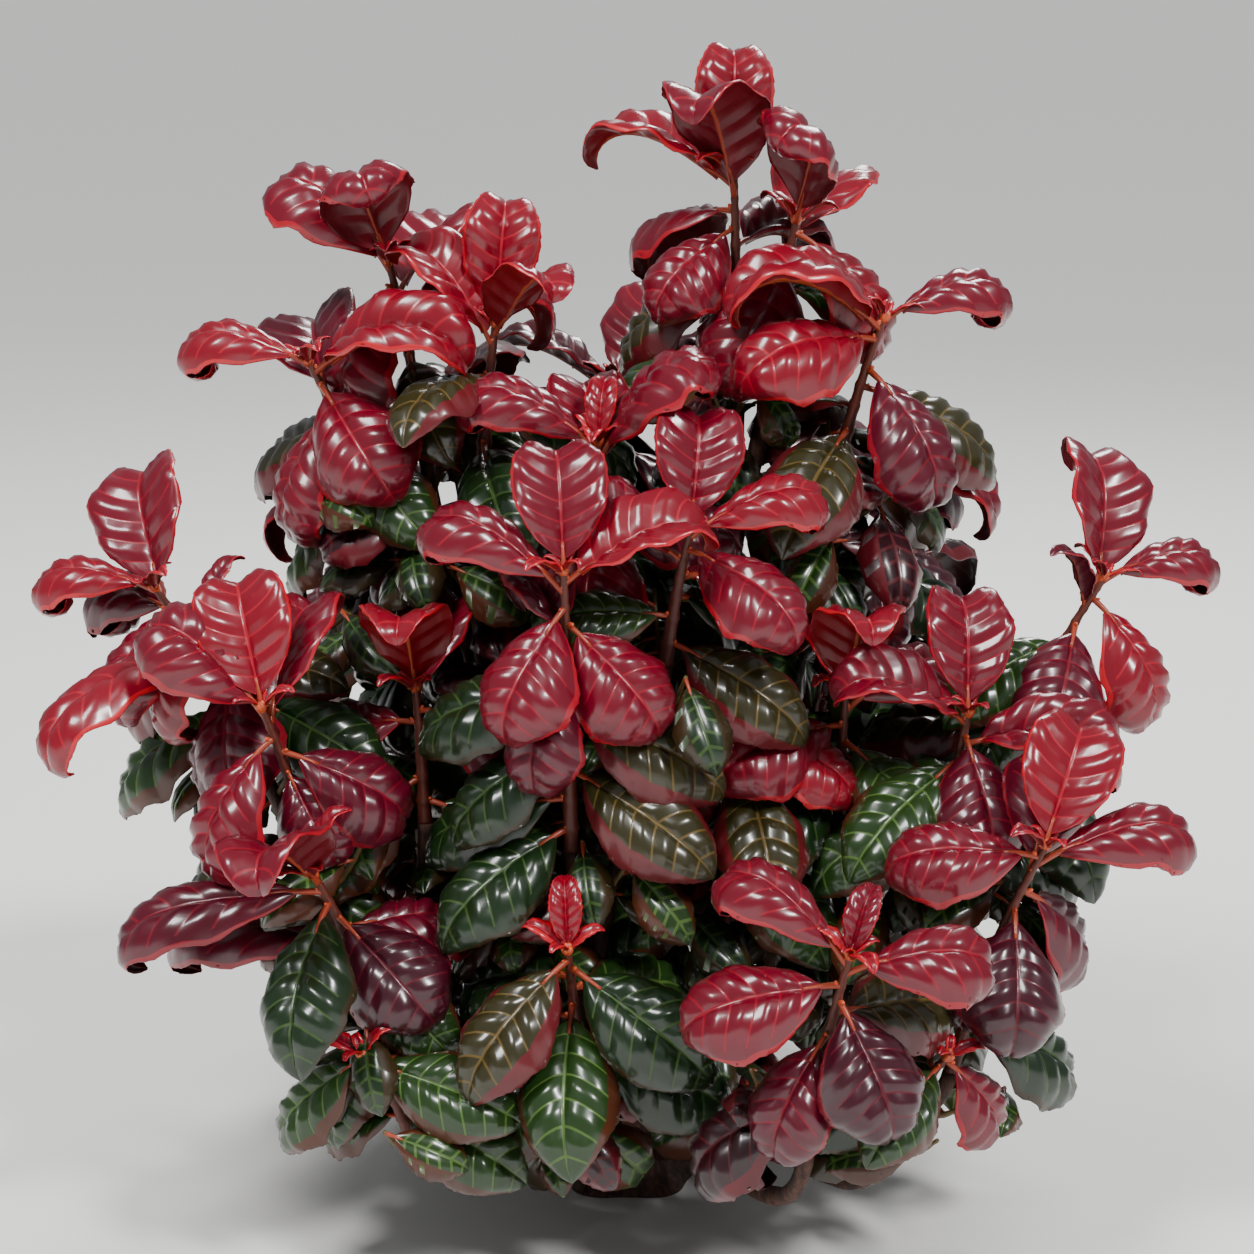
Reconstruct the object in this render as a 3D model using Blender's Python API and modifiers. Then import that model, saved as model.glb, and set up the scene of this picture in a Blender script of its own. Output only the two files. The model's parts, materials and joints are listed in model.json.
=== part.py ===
"""Coastal doghobble: a compact shrub with curled and puckered leaves, rooted in the ground.

The shrub stands on the flat cut of its woody foot at the origin, +Z is up, and its front faces -Y.
Boughs are tapering limbs that spring from the foot or fork from another bough. Each mass of foliage
is one leafy shoot at the tip of its bough, whose leaves follow each other round the stem by the
golden angle. A leaf is a thin blade that bends toward its underside.
"""

import math
from collections import namedtuple

import bmesh
import bpy
from mathutils import Quaternion, Vector
from mathutils.bvhtree import BVHTree

MM = 0.001
UP = Vector((0.0, 0.0, 1.0))

# The whole shrub, as far as its leaf tips may reach
PLANT_WIDTH = 0.486
PLANT_DEPTH = 0.420
PLANT_HEIGHT = 0.468
LOWEST_LEAF = 0.006
SKIRT_START = 0.060
SKIRT_RISE = 0.42

# The woody foot
FOOT_HEIGHT = 0.042
FOOT_RADIUS = 0.019
FOOT_FLARE_RADIUS = 0.028
FOOT_SIDES = 16
FOOT_LOBES = 5
FOOT_LOBE_DEPTH = 0.07

# Clearance between pieces that meet, and between leaves that pass each other
GAP = 0.0003
LEAF_CLEARANCE = 0.0004
CUTTER_SWELL = GAP * 1.15
TEST_SIDES = 6
FOOT_TEST_SIDES = 12

# Boughs
MAIN_BASE_RADIUS = 0.0046
SIDE_BASE_RADIUS = 0.0036
BOUGH_TIP_RADIUS = 0.0030
BOUGH_POINTS = 6
BOUGH_SINK = 0.004
BOUGH_SWING = 0.38
FORK_DROP = 0.7
STRAIGHT_END = 0.003

# Where the main boughs leave the foot: radius and height of each ring, and their lean there
RINGS = {
    "top": (0.0085, 0.034, 8.0),
    "shoulder": (0.0150, 0.031, 34.0),
    "side": (0.0185, 0.016, 66.0),
}

# Shoots
STEM_TIP_RADIUS = 0.0012
STEM_POINTS = 6
STEM_RISE = 0.9
FIRST_NODE = 0.002
FIRST_INTERNODE = 0.0030
INTERNODE_GROWTH = 0.0011
LONGEST_INTERNODE = 0.0120
BARE_STEM = 0.010
GOLDEN_ANGLE = 137.5

# Leaves
LEAF_LENGTH = 0.066
LEAF_THICKNESS = 0.0012
PETIOLE_SHARE = 0.10
PETIOLE_HALF_WIDTH = 0.0009
MIDRIB_STEPS = 20
WIDEST_AT = 1.12
OUTLINE_POWER = 0.66
TIP_POINT = 0.34
YOUNG_SIZES = (0.84, 0.94)
SUN = Vector((-0.15, -0.60, 0.78))
LIGHT_OUTWARD = 0.45
MOST_ROLL = 52
UPRIGHTNESS = 0.7

# How a leaf is held, in degrees: lift above the plane square to the stem, bend spread over the
# midrib, curl gathered at the tip by the power, fold at the midrib and at the margin, twist and
# sway. Light is how far it rolls to face the light. Length is a share of LEAF_LENGTH and width a
# share of that leaf's own length.
Form = namedtuple("Form", "lift bend curl power fold cup twist sway light length width")
FORMS = {
    "arch": Form(52, 50, 262, 2.8, 12, -52, 6, 0, 0.5, 1.38, 0.38),
    "hook": Form(42, 54, 246, 2.9, 12, -50, 8, 0, 0.5, 1.22, 0.48),
    "reach": Form(18, 26, 150, 4.6, 16, -38, 10, 4, 0.5, 1.46, 0.36),
    "crook": Form(66, 14, 246, 3.0, 10, -26, -12, 6, 0.3, 1.22, 0.54),
    "flag": Form(84, -24, 170, 3.4, 20, 24, 30, 0, 0.0, 1.02, 0.55),
    "spoon": Form(40, 24, 116, 3.2, 16, 50, 0, 0, 0.4, 1.06, 0.66),
    "fold": Form(28, 46, 112, 2.8, 54, 16, 14, -8, 0.4, 1.14, 0.62),
    "flat": Form(4, 30, 112, 3.2, 10, -40, -8, 0, 0.6, 1.08, 0.58),
    "face": Form(-30, 20, 120, 3.4, 10, -40, 6, 0, 0.6, 0.98, 0.68),
    "droop": Form(-18, 50, 130, 3.0, 12, -44, 10, 6, 0.6, 1.12, 0.54),
    "cup": Form(70, 16, 148, 3.8, 10, 52, 0, 0, 0.0, 1.10, 0.70),
    "bud": Form(72, 16, 80, 2.6, 34, 20, 0, 0, 0.0, 0.56, 0.44),
    "green": Form(-12, 26, 58, 2.8, 12, -34, 6, 4, 0.7, 1.08, 0.56),
}

# One row for each shoot: the place of its growing tip in millimetres, the compass heading and the
# angle of its lean, the ring of the foot or the shoot whose bough carries it, how far along that
# bough it forks, the heading of its youngest leaf, its size and its leaves from young to old.
# A leaf may name its own heading after a colon, and a star gives how many of a kind follow each
# other. Headings run from +X toward +Y.
Shoot = namedtuple("Shoot", "name tip toward lean carrier fork first size leaves")
SHOOTS = [
    Shoot("crown_top", (42, 10, 411), 110, 4, "top", 0.0, 100, 1.12,
          "flag:70 spoon:165 cup:215 flat:130 face:265 fold:20 green*4"),
    Shoot("crown_side", (66, 2, 394), 0, 12, "crown_top", 0.72, 10, 1.16,
          "crook:285 droop:345 spoon:70 face:240 green*3"),
    Shoot("upper_left", (-93, 0, 378), 175, 14, "top", 0.0, 150, 1.12,
          "crook:240 crook:180 droop:215 spoon:60 fold:340 flat:280 green*4"),
    Shoot("left_cup", (-51, -15, 355), 20, 8, "upper_left", 0.62, 30, 1.10,
          "flag:70 cup:285 spoon:190 flat:110 green:250 green*3"),
    Shoot("left_arch", (-123, -20, 341), 190, 30, "upper_left", 0.42, 170, 1.12,
          "arch:182 fold:335 face:300 spoon:95 droop:235 green*4"),
    Shoot("upper_right", (100, -10, 357), 0, 22, "crown_top", 0.50, 10, 1.12,
          "arch:2 fold:185 flat:225 spoon:90 droop:315 green*4"),
    Shoot("centre_top", (-11, -45, 314), 268, 14, "top", 0.0, 140, 1.06,
          "bud:80 arch:195 crook:345 cup:120 flat:190 face:260 flat:320 green*4"),
    Shoot("centre", (-23, -105, 275), 265, 16, "shoulder", 0.0, 100, 1.04,
          "cup:95 spoon:5 arch:176 face:232 face:325 fold:60 droop:275 green:200 green:340 "
          "green:230 green:320 green:150 green:215"),
    Shoot("centre_right", (24, -80, 287), 320, 18, "centre", 0.50, 90, 1.0,
          "cup:95 arch:352 flat:315 spoon:205 flat:40 green*3"),
    Shoot("left_tip", (-184, -30, 254), 185, 40, "left_mid", 0.60, 180, 1.06,
          "arch:181 cup:75 face:240 hook:140 droop:300 green*5"),
    Shoot("left_mid", (-162, -60, 246), 205, 38, "shoulder", 0.0, 180, 1.06,
          "droop:188 bud:40 reach:205 flat:110 face:250 droop:160 green*5"),
    Shoot("left_front", (-135, -100, 223), 235, 30, "shoulder", 0.0, 0, 1.06,
          "cup:95 crook:170 spoon:45 droop:215 droop:345 face:280 flat:140 green*3"),
    Shoot("left_low", (-116, -110, 162), 225, 34, "side", 0.0, 90, 1.06,
          "bud:20 cup:255 reach:186 green:245 face:310 flat:350 reach:160 green*3"),
    Shoot("cup_left", (-81, -55, 220), 250, 10, "left_front", 0.55, 100, 1.04,
          "cup:265 spoon:80 flat:330 flat:170 green:25 green*3"),
    Shoot("cup_right", (84, -55, 219), 290, 8, "right_mid", 0.50, 100, 1.04,
          "cup:280 spoon:100 hook:20 flat:200 green:320 green*3"),
    Shoot("right_dark", (99, 40, 285), 20, 20, "shoulder", 0.0, 10, 1.06,
          "fold:350 flat:200 spoon:90 hook:30 droop:290 green*7"),
    Shoot("right_tip", (184, -40, 260), 350, 34, "shoulder", 0.0, 10, 1.04,
          "arch:6 cup:120 droop:335 bud:215 face:280 green:250 green*5"),
    Shoot("right_inner", (129, -75, 215), 300, 18, "right_mid", 0.68, 100, 1.0,
          "cup:100 spoon:190 face:290 fold:350 green:240 green*3"),
    Shoot("right_mid", (154, -115, 174), 325, 30, "shoulder", 0.0, 90, 1.06,
          "cup:80 flat:190 arch:352 crook:130 droop:15 face:280 face:225 green*5"),
    Shoot("front_right", (79, -165, 148), 292, 30, "side", 0.0, 170, 1.04,
          "bud:70 arch:165 hook:345 flat:200 face:305 green:30 droop:270 droop:325 droop:350 "
          "droop:215 green:20"),
    Shoot("low_centre", (-22, -118, 135), 262, 34, "side", 0.0, 30, 1.06,
          "bud:90 green:225 green:318 green:150 green:30 green:262 green:190 green:340 green:240"),
    Shoot("low_left", (-98, -122, 96), 228, 44, "side", 0.0, 30, 1.0,
          "green:200 green:330 green:60 green:250 green:150 green:290 green:190"),
    Shoot("low_right", (118, -130, 98), 318, 44, "side", 0.0, 30, 1.0,
          "droop:350 green:290 green:60 green:225 green:20 green:320 green:270"),
    Shoot("inner_right", (46, -62, 205), 290, 18, "shoulder", 0.0, 60, 1.0,
          "flat:330 green:200 green:60 green:280 green:150 green*6"),
    Shoot("left_dark", (-95, 45, 275), 160, 22, "shoulder", 0.0, 10, 1.06,
          "fold:185 spoon:60 flat:300 hook:140 droop:220 green*7"),
    Shoot("back_top", (-5, 70, 322), 90, 12, "top", 0.0, 40, 1.06,
          "cup spoon arch face fold droop green*7"),
    Shoot("back_left", (-118, 105, 262), 138, 32, "shoulder", 0.0, 130, 1.06,
          "spoon arch crook face droop fold green*7"),
    Shoot("back_right", (118, 100, 262), 40, 32, "shoulder", 0.0, 60, 1.06,
          "arch spoon face crook droop fold green*7"),
    Shoot("back_mid", (4, 138, 246), 92, 30, "shoulder", 0.0, 90, 1.06,
          "crook arch spoon face fold droop green*7"),
    Shoot("back_left_low", (-122, 118, 150), 138, 44, "side", 0.0, 140, 1.06,
          "arch flat spoon face droop green*6"),
    Shoot("back_right_low", (126, 112, 150), 42, 44, "side", 0.0, 50, 1.06,
          "arch flat spoon face droop green*6"),
    Shoot("back_low", (-4, 150, 116), 92, 48, "side", 0.0, 90, 1.06,
          "face droop flat green*5"),
]

# Low shoots whose own stem springs from the foot, with no bough between
BOUGHLESS = {
    "low_centre", "low_left", "low_right", "back_low", "back_left_low", "back_right_low",
}

# Angles and sizes that a leaf tries in turn until it has room: heading, lift and share of its size
TRIES = [
    (0, 0, 1.0), (12, 0, 1.0), (-12, 0, 1.0), (0, 12, 1.0), (0, -12, 1.0), (24, 6, 1.0),
    (-24, 6, 1.0), (14, 18, 0.92), (-14, 18, 0.92), (34, -8, 0.9), (-34, -8, 0.9), (0, 22, 0.84),
    (46, 8, 0.84), (-46, 8, 0.84), (20, -16, 0.76), (-20, -16, 0.76), (60, 14, 0.7), (-60, 14, 0.7),
]

BARK_COLOUR = (0.10, 0.030, 0.018, 1.0)
RED_LEAF_COLOUR = (0.42, 0.010, 0.030, 1.0)
GREEN_LEAF_COLOUR = (0.030, 0.075, 0.022, 1.0)


def heading(degrees, tilt):
    """Unit vector at a compass heading, leaning by tilt degrees from the vertical."""
    turn, lean = math.radians(degrees), math.radians(tilt)
    return Vector((math.cos(turn) * math.sin(lean), math.sin(turn) * math.sin(lean), math.cos(lean)))


def leaf_words(shoot):
    """The form and heading of each leaf of a shoot, from young to old."""
    words = []
    for word in shoot.leaves.split():
        kind, _, times = word.partition("*")
        form, _, own_heading = kind.partition(":")
        for _ in range(int(times or 1)):
            turn = float(own_heading) if own_heading else shoot.first + len(words) * GOLDEN_ANGLE
            words.append((form, turn))
    return words


def node_depths(count):
    """Distance of each leaf's node below the growing tip: close together there, wider below."""
    depths, depth = [], FIRST_NODE
    for number in range(count):
        depths.append(depth)
        depth += min(FIRST_INTERNODE + number * INTERNODE_GROWTH, LONGEST_INTERNODE)
    return depths


def stem_path(shoot):
    """Points and directions of a shoot's stem from its base to its growing tip."""
    tip = Vector(shoot.tip) * MM
    length = node_depths(len(leaf_words(shoot)))[-1] + BARE_STEM
    at_tip = heading(shoot.toward, shoot.lean)
    at_base = (at_tip + UP * STEM_RISE).normalized()
    path, point = [(tip, at_tip)], tip.copy()
    for number in range(1, STEM_POINTS):
        share = number / (STEM_POINTS - 1)
        along = at_tip.lerp(at_base, share).normalized()
        point = point - along * (length / (STEM_POINTS - 1))
        path.append((point.copy(), along))
    return path[::-1]


def on_path(path, distance):
    """Point and direction at a distance back from the last point of a path."""
    for (start, start_along), (end, end_along) in zip(path[-2::-1], path[:0:-1]):
        span = (end - start).length
        if distance <= span:
            share = distance / span
            return end.lerp(start, share), end_along.lerp(start_along, share).normalized()
        distance -= span
    return path[0]


def bezier(start, leaving, end, arriving, count):
    """Points and directions along a smooth limb between two places with given directions."""
    reach = (end - start).length * BOUGH_SWING
    a, b, c, d = start, start + leaving * reach, end - arriving * reach, end
    path = []
    for number in range(count):
        t = number / (count - 1)
        s = 1.0 - t
        point = a * s**3 + b * (3 * s * s * t) + c * (3 * s * t * t) + d * t**3
        along = (b - a) * (s * s) + (c - b) * (2 * s * t) + (d - c) * (t * t)
        path.append((point, along.normalized()))
    return path


def ring_turns(ring):
    """Even places round a ring of the foot for its boughs, turned to suit where the boughs go."""
    members = [shoot for shoot in SHOOTS if shoot.carrier == ring]
    turns = {shoot.name: math.degrees(math.atan2(shoot.tip[1], shoot.tip[0])) % 360 for shoot in members}
    order = sorted(turns, key=turns.get)
    spacing = 360 / len(order)
    offs = [math.radians(turns[name] - rank * spacing) for rank, name in enumerate(order)]
    offset = math.degrees(math.atan2(sum(map(math.sin, offs)), sum(map(math.cos, offs))))
    return {name: offset + rank * spacing for rank, name in enumerate(order)}


def bough_paths():
    """Path and base radius of each shoot's bough, carriers first."""
    places = {ring: ring_turns(ring) for ring in RINGS}
    paths = {}
    waiting = list(SHOOTS)
    while waiting:
        shoot = waiting.pop(0)
        stem = stem_path(shoot)
        end = stem[0][0] - stem[0][1] * GAP
        if shoot.carrier in RINGS:
            radius, height, lean = RINGS[shoot.carrier]
            turn = places[shoot.carrier][shoot.name]
            leaving = heading(turn, lean)
            foot_point = heading(turn, 90) * radius + UP * height
            start, base_radius = foot_point - leaving * BOUGH_SINK, MAIN_BASE_RADIUS
        elif shoot.carrier in paths:
            carrier = paths[shoot.carrier][0]
            back = shoot.fork * sum((b[0] - a[0]).length for a, b in zip(carrier, carrier[1:]))
            start, carrier_along = on_path([(p, -a) for p, a in carrier[::-1]], back)
            leaving = ((end - start).normalized() - carrier_along * FORK_DROP).normalized()
            base_radius = SIDE_BASE_RADIUS
        else:
            waiting.append(shoot)
            continue
        arriving = stem[0][1]
        path = bezier(start, leaving, end - arriving * STRAIGHT_END, arriving, BOUGH_POINTS)
        paths[shoot.name] = (path + [(end, arriving)], base_radius)
    return paths


def frames_along(root, along, upper, length, form):
    """Points and directions down a midrib that bends toward the underside of its leaf."""
    frames, point = [], root.copy()
    for number in range(MIDRIB_STEPS + 1):
        frames.append((point.copy(), along.copy(), upper.copy()))
        share = (number + 0.5) / MIDRIB_STEPS
        bend = form.bend + form.curl * (form.power + 1) * share**form.power
        across = along.cross(upper)
        turn = Quaternion(across, -math.radians(bend / MIDRIB_STEPS))
        turn = turn @ Quaternion(upper, math.radians(form.sway / MIDRIB_STEPS))
        turn = turn @ Quaternion(along, math.radians(form.twist / MIDRIB_STEPS))
        along, upper = turn @ along, turn @ upper
        point = point + along * (length / MIDRIB_STEPS)
    return frames


def frame_at(frames, share):
    """The midrib's point and directions at a share of its length."""
    place = share * MIDRIB_STEPS
    number = min(int(place), MIDRIB_STEPS - 1)
    part = place - number
    first, second = frames[number], frames[number + 1]
    return tuple(a.lerp(b, part) for a, b in zip(first, second))


def outline(share):
    """Half width of a blade, from 0 to 1, at a share of the blade's length."""
    moved = share**WIDEST_AT
    return (4.0 * moved * (1.0 - moved)) ** OUTLINE_POWER * (1.0 - TIP_POINT * share**3)


def section(side, fold, cup):
    """How far across and up a blade's margin lies, from fold and cup angles at midrib and margin."""
    low, high = math.radians(fold), math.radians(cup)
    change = high - low
    if abs(change) < 1e-3:
        return side * math.cos(low), math.sin(low)
    return side * (math.sin(high) - math.sin(low)) / change, (math.cos(low) - math.cos(high)) / change


def blade_stations(form):
    """Shares of the leaf's length at which its solid has a cross-section."""
    if form.curl > 150:
        return (PETIOLE_SHARE, 0.32, 0.56, 0.78, 0.91)
    if form.curl > 60:
        return (PETIOLE_SHARE, 0.34, 0.62, 0.86)
    return (PETIOLE_SHARE, 0.40, 0.76)


def leaf_solid(frames, length, form, swell=0.0):
    """Points and triangles of a leaf: a lens-shaped blade between its root and its pointed tip."""
    points = [frames[0][0]]
    for share in blade_stations(form):
        centre, along, upper = frame_at(frames, share)
        across = along.cross(upper)
        half = length * form.width * 0.5 * outline((share - PETIOLE_SHARE) / (1 - PETIOLE_SHARE))
        half = max(half, PETIOLE_HALF_WIDTH) + swell
        thick = LEAF_THICKNESS * 0.5 + swell
        for side in (-1, 1):
            over, rise = section(side, form.fold, form.cup)
            points.append(centre + across * (over * half) + upper * (rise * half))
            points.append(centre + upper * (-side * thick))
    points.append(frames[-1][0])
    faces = []
    for corner in range(4):
        faces.append((0, 1 + corner, 1 + (corner + 1) % 4))
    rings = len(blade_stations(form))
    for ring in range(rings - 1):
        for corner in range(4):
            a, b = 1 + ring * 4 + corner, 1 + ring * 4 + (corner + 1) % 4
            faces += [(a, a + 4, b), (b, a + 4, b + 4)]
    last = len(points) - 1
    for corner in range(4):
        a, b = last - 4 + corner, last - 4 + (corner + 1) % 4
        faces.append((a, last, b))
    return points, faces


def tube_solid(path, radii, sides):
    """Points and triangles of a tapering tube, for testing what a leaf would touch."""
    points, faces = [], []
    for (centre, along), radius in zip(path, radii):
        side = along.orthogonal().normalized()
        for corner in range(sides):
            points.append(centre + Quaternion(along, math.tau * corner / sides) @ side * radius)
    for ring in range(len(path) - 1):
        for corner in range(sides):
            a, b = ring * sides + corner, ring * sides + (corner + 1) % sides
            faces += [(a, b, a + sides), (b, b + sides, a + sides)]
    return points, faces


class Body:
    """A solid's box and search tree, so that a leaf can tell whether it would touch it."""

    def __init__(self, points, faces):
        self.low = [min(point[axis] for point in points) for axis in range(3)]
        self.high = [max(point[axis] for point in points) for axis in range(3)]
        self.tree = BVHTree.FromPolygons(points, faces)

    def touches(self, other):
        for axis in range(3):
            if self.low[axis] > other.high[axis] or other.low[axis] > self.high[axis]:
                return False
        return bool(self.tree.overlap(other.tree))


def taper(start, end, count):
    """Radii that shrink evenly along a limb."""
    return [start + (end - start) * number / (count - 1) for number in range(count)]


def within_reach(points):
    """Whether a leaf stays inside the shrub's width, depth and height and above its skirt."""
    for point in points:
        skirt = LOWEST_LEAF + SKIRT_RISE * max(0.0, math.hypot(point.x, point.y) - SKIRT_START)
        if abs(point.x) > PLANT_WIDTH / 2 or abs(point.y) > PLANT_DEPTH / 2:
            return False
        if not skirt <= point.z <= PLANT_HEIGHT:
            return False
    return True


def leaf_frames(stem, depth, turn, lift, length, form):
    """Frames of a leaf that leaves its stem at a depth below the tip, at a heading and a lift."""
    root, axis = on_path(stem, depth)
    axis = (axis + UP * UPRIGHTNESS).normalized()
    outward = heading(turn, 90)
    outward = (outward - axis * outward.dot(axis)).normalized()
    raised = math.radians(min(lift, 88))
    along = outward * math.cos(raised) + axis * math.sin(raised)
    upper = axis * math.cos(raised) - outward * math.sin(raised)
    light = Vector((root.x, root.y, 0.0)).normalized() * LIGHT_OUTWARD + SUN
    light -= along * light.dot(along)
    roll = math.degrees(math.atan2(along.dot(upper.cross(light)), upper.dot(light))) * form.light
    roll = max(-MOST_ROLL, min(MOST_ROLL, roll))
    upper = Quaternion(along, math.radians(roll)) @ upper
    return frames_along(root, along, upper, length, form)


def limb_bodies(boughs, stems):
    """Bodies of each shoot's bough and stem, grown by the clearance that leaves keep to them."""
    limbs = {}
    for name, stem in stems.items():
        path, base_radius = boughs[name]
        pair = []
        ends = ((path, base_radius, BOUGH_TIP_RADIUS), (stem, BOUGH_TIP_RADIUS, STEM_TIP_RADIUS))
        for line, start, end in ends:
            radii = [radius + LEAF_CLEARANCE for radius in taper(start, end, len(line))]
            pair.append(Body(*tube_solid(line, radii, TEST_SIDES)))
        limbs[name] = pair
    return limbs


def has_room(name, whole, blade, foot, limbs, blades):
    """Whether a leaf meets only its own stem, and its blade not even that."""
    own_bough, own_stem = limbs[name]
    if whole.touches(foot) or whole.touches(own_bough) or blade.touches(own_stem):
        return False
    if any(blade.touches(own_blade) for own_blade, _ in blades[name]):
        return False
    for other in limbs:
        leaves = (leaf for _, leaf in blades[other])
        if other != name and any(whole.touches(body) for body in (*limbs[other], *leaves)):
            return False
    return True


def place_leaf(shoot, stem, number, words, foot, limbs, blades):
    """The first way of holding a leaf that has room, or nothing where there is none."""
    form_name, turn = words[number]
    form = FORMS[form_name]
    depth = node_depths(len(words))[number]
    youth = YOUNG_SIZES[number] if number < len(YOUNG_SIZES) else 1.0
    for more_turn, more_lift, share in TRIES:
        length = LEAF_LENGTH * form.length * shoot.size * youth * share
        frames = leaf_frames(stem, depth, turn + more_turn, form.lift + more_lift, length, form)
        points, faces = leaf_solid(frames, length, form, LEAF_CLEARANCE)
        if not within_reach(points[5:]):
            continue
        whole = Body(points, faces)
        blade = Body(points, [face for face in faces if min(face) > 0])
        if has_room(shoot.name, whole, blade, foot, limbs, blades):
            blades[shoot.name].append((blade, whole))
            return frames, length, form
    return None


def grow_leaves(boughs):
    """Gives each shoot the leaves that have room, youngest leaves first on every shoot."""
    stems = {shoot.name: stem_path(shoot) for shoot in SHOOTS}
    limbs = limb_bodies(boughs, stems)
    foot_line = [(UP * 0.0, UP), (UP * FOOT_HEIGHT, UP)]
    foot = Body(*tube_solid(foot_line, [FOOT_FLARE_RADIUS, FOOT_RADIUS], FOOT_TEST_SIDES))
    blades = {shoot.name: [] for shoot in SHOOTS}
    placed = {shoot.name: [] for shoot in SHOOTS}
    for number in range(max(len(leaf_words(shoot)) for shoot in SHOOTS)):
        for shoot in SHOOTS:
            words = leaf_words(shoot)
            if number < len(words):
                leaf = place_leaf(shoot, stems[shoot.name], number, words, foot, limbs, blades)
                if leaf:
                    placed[shoot.name].append(leaf)
    return placed


def new_material(name, colour, roughness):
    """A plain principled material."""
    material = bpy.data.materials.new(name)
    material.use_nodes = True
    shader = material.node_tree.nodes["Principled BSDF"]
    shader.inputs["Base Color"].default_value = colour
    shader.inputs["Roughness"].default_value = roughness
    material.diffuse_color = colour
    return material


def new_object(name, mesh, collection):
    """An object for a mesh, in a collection."""
    piece = bpy.data.objects.new(name, mesh)
    collection.objects.link(piece)
    return piece


def mesh_from(name, points, faces):
    """A mesh from points and faces, with its faces pointing out."""
    mesh = bpy.data.meshes.new(name)
    mesh.from_pydata([tuple(point) for point in points], [], faces)
    shape = bmesh.new()
    shape.from_mesh(mesh)
    bmesh.ops.recalc_face_normals(shape, faces=shape.faces)
    shape.to_mesh(mesh)
    shape.free()
    return mesh


def tube(name, path, radii, resolution, collection):
    """A tapering limb, made as a bevelled curve and turned into a closed mesh."""
    curve = bpy.data.curves.new(name, "CURVE")
    curve.dimensions = "3D"
    curve.bevel_depth = 1.0
    curve.bevel_resolution = resolution
    curve.use_fill_caps = True
    spline = curve.splines.new("POLY")
    spline.points.add(len(path) - 1)
    for point, (place, _), radius in zip(spline.points, path, radii):
        point.co = (*place, 1.0)
        point.radius = radius
    rod = new_object(name + "_curve", curve, collection)
    bpy.context.view_layer.update()
    mesh = bpy.data.meshes.new_from_object(rod.evaluated_get(bpy.context.evaluated_depsgraph_get()))
    bpy.data.objects.remove(rod)
    bpy.data.curves.remove(curve)
    shape = bmesh.new()
    shape.from_mesh(mesh)
    bmesh.ops.remove_doubles(shape, verts=shape.verts, dist=1e-6)
    bmesh.ops.triangulate(shape, faces=shape.faces)
    bmesh.ops.recalc_face_normals(shape, faces=shape.faces)
    shape.to_mesh(mesh)
    shape.free()
    mesh.materials.clear()
    return new_object(name, mesh, collection)


def apply_boolean(piece, operation, operand, solver="EXACT"):
    """Joins or cuts a piece by an object or a collection, and applies the result."""
    modifier = piece.modifiers.new("fuse", "BOOLEAN")
    modifier.operation = operation
    modifier.solver = solver
    if isinstance(operand, bpy.types.Collection):
        modifier.operand_type = "COLLECTION"
        modifier.collection = operand
    else:
        modifier.object = operand
    bpy.context.view_layer.update()
    mesh = bpy.data.meshes.new_from_object(piece.evaluated_get(bpy.context.evaluated_depsgraph_get()))
    piece.modifiers.clear()
    old = piece.data
    piece.data = mesh
    bpy.data.meshes.remove(old)


def keep_largest(piece):
    """Drops loose scraps, so that a piece is one closed body."""
    shape = bmesh.new()
    shape.from_mesh(piece.data)
    bmesh.ops.remove_doubles(shape, verts=shape.verts, dist=1e-6)
    unseen, bodies = set(shape.verts), []
    while unseen:
        body, reached = set(), [next(iter(unseen))]
        while reached:
            vertex = reached.pop()
            if vertex in body:
                continue
            body.add(vertex)
            reached += [edge.other_vert(vertex) for edge in vertex.link_edges]
        unseen -= body
        bodies.append(body)
    bodies.sort(key=len, reverse=True)
    for scrap in bodies[1:]:
        bmesh.ops.delete(shape, geom=list(scrap), context="VERTS")
    bmesh.ops.triangulate(shape, faces=shape.faces)
    shape.to_mesh(piece.data)
    shape.free()
    return len(bodies) - 1


def make_foot(collection, material):
    """The woody foot: a turned and gently lobed stool with a root flare and a flat cut."""
    profile = [
        (0.0, FOOT_HEIGHT), (FOOT_RADIUS * 0.62, FOOT_HEIGHT * 0.97), (FOOT_RADIUS, FOOT_HEIGHT * 0.78),
        (FOOT_RADIUS * 1.03, FOOT_HEIGHT * 0.42), (FOOT_RADIUS * 1.15, FOOT_HEIGHT * 0.18),
        (FOOT_FLARE_RADIUS, 0.0), (0.0, 0.0),
    ]
    mesh = bpy.data.meshes.new("foot")
    edges = [(number, number + 1) for number in range(len(profile) - 1)]
    mesh.from_pydata([(radius, 0.0, height) for radius, height in profile], edges, [])
    foot = new_object("foot", mesh, collection)
    turned = foot.modifiers.new("turned", "SCREW")
    turned.steps = turned.render_steps = FOOT_SIDES
    turned.use_merge_vertices = True
    turned.merge_threshold = 0.00001
    bpy.context.view_layer.update()
    solid = bpy.data.meshes.new_from_object(foot.evaluated_get(bpy.context.evaluated_depsgraph_get()))
    foot.modifiers.clear()
    foot.data = solid
    bpy.data.meshes.remove(mesh)
    for vertex in solid.vertices:
        turn = math.atan2(vertex.co.y, vertex.co.x)
        lobe = 1.0 + FOOT_LOBE_DEPTH * math.sin(FOOT_LOBES * turn)
        vertex.co.x *= lobe
        vertex.co.y *= lobe
    keep_largest(foot)
    foot.data.materials.append(material)
    return foot


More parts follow.
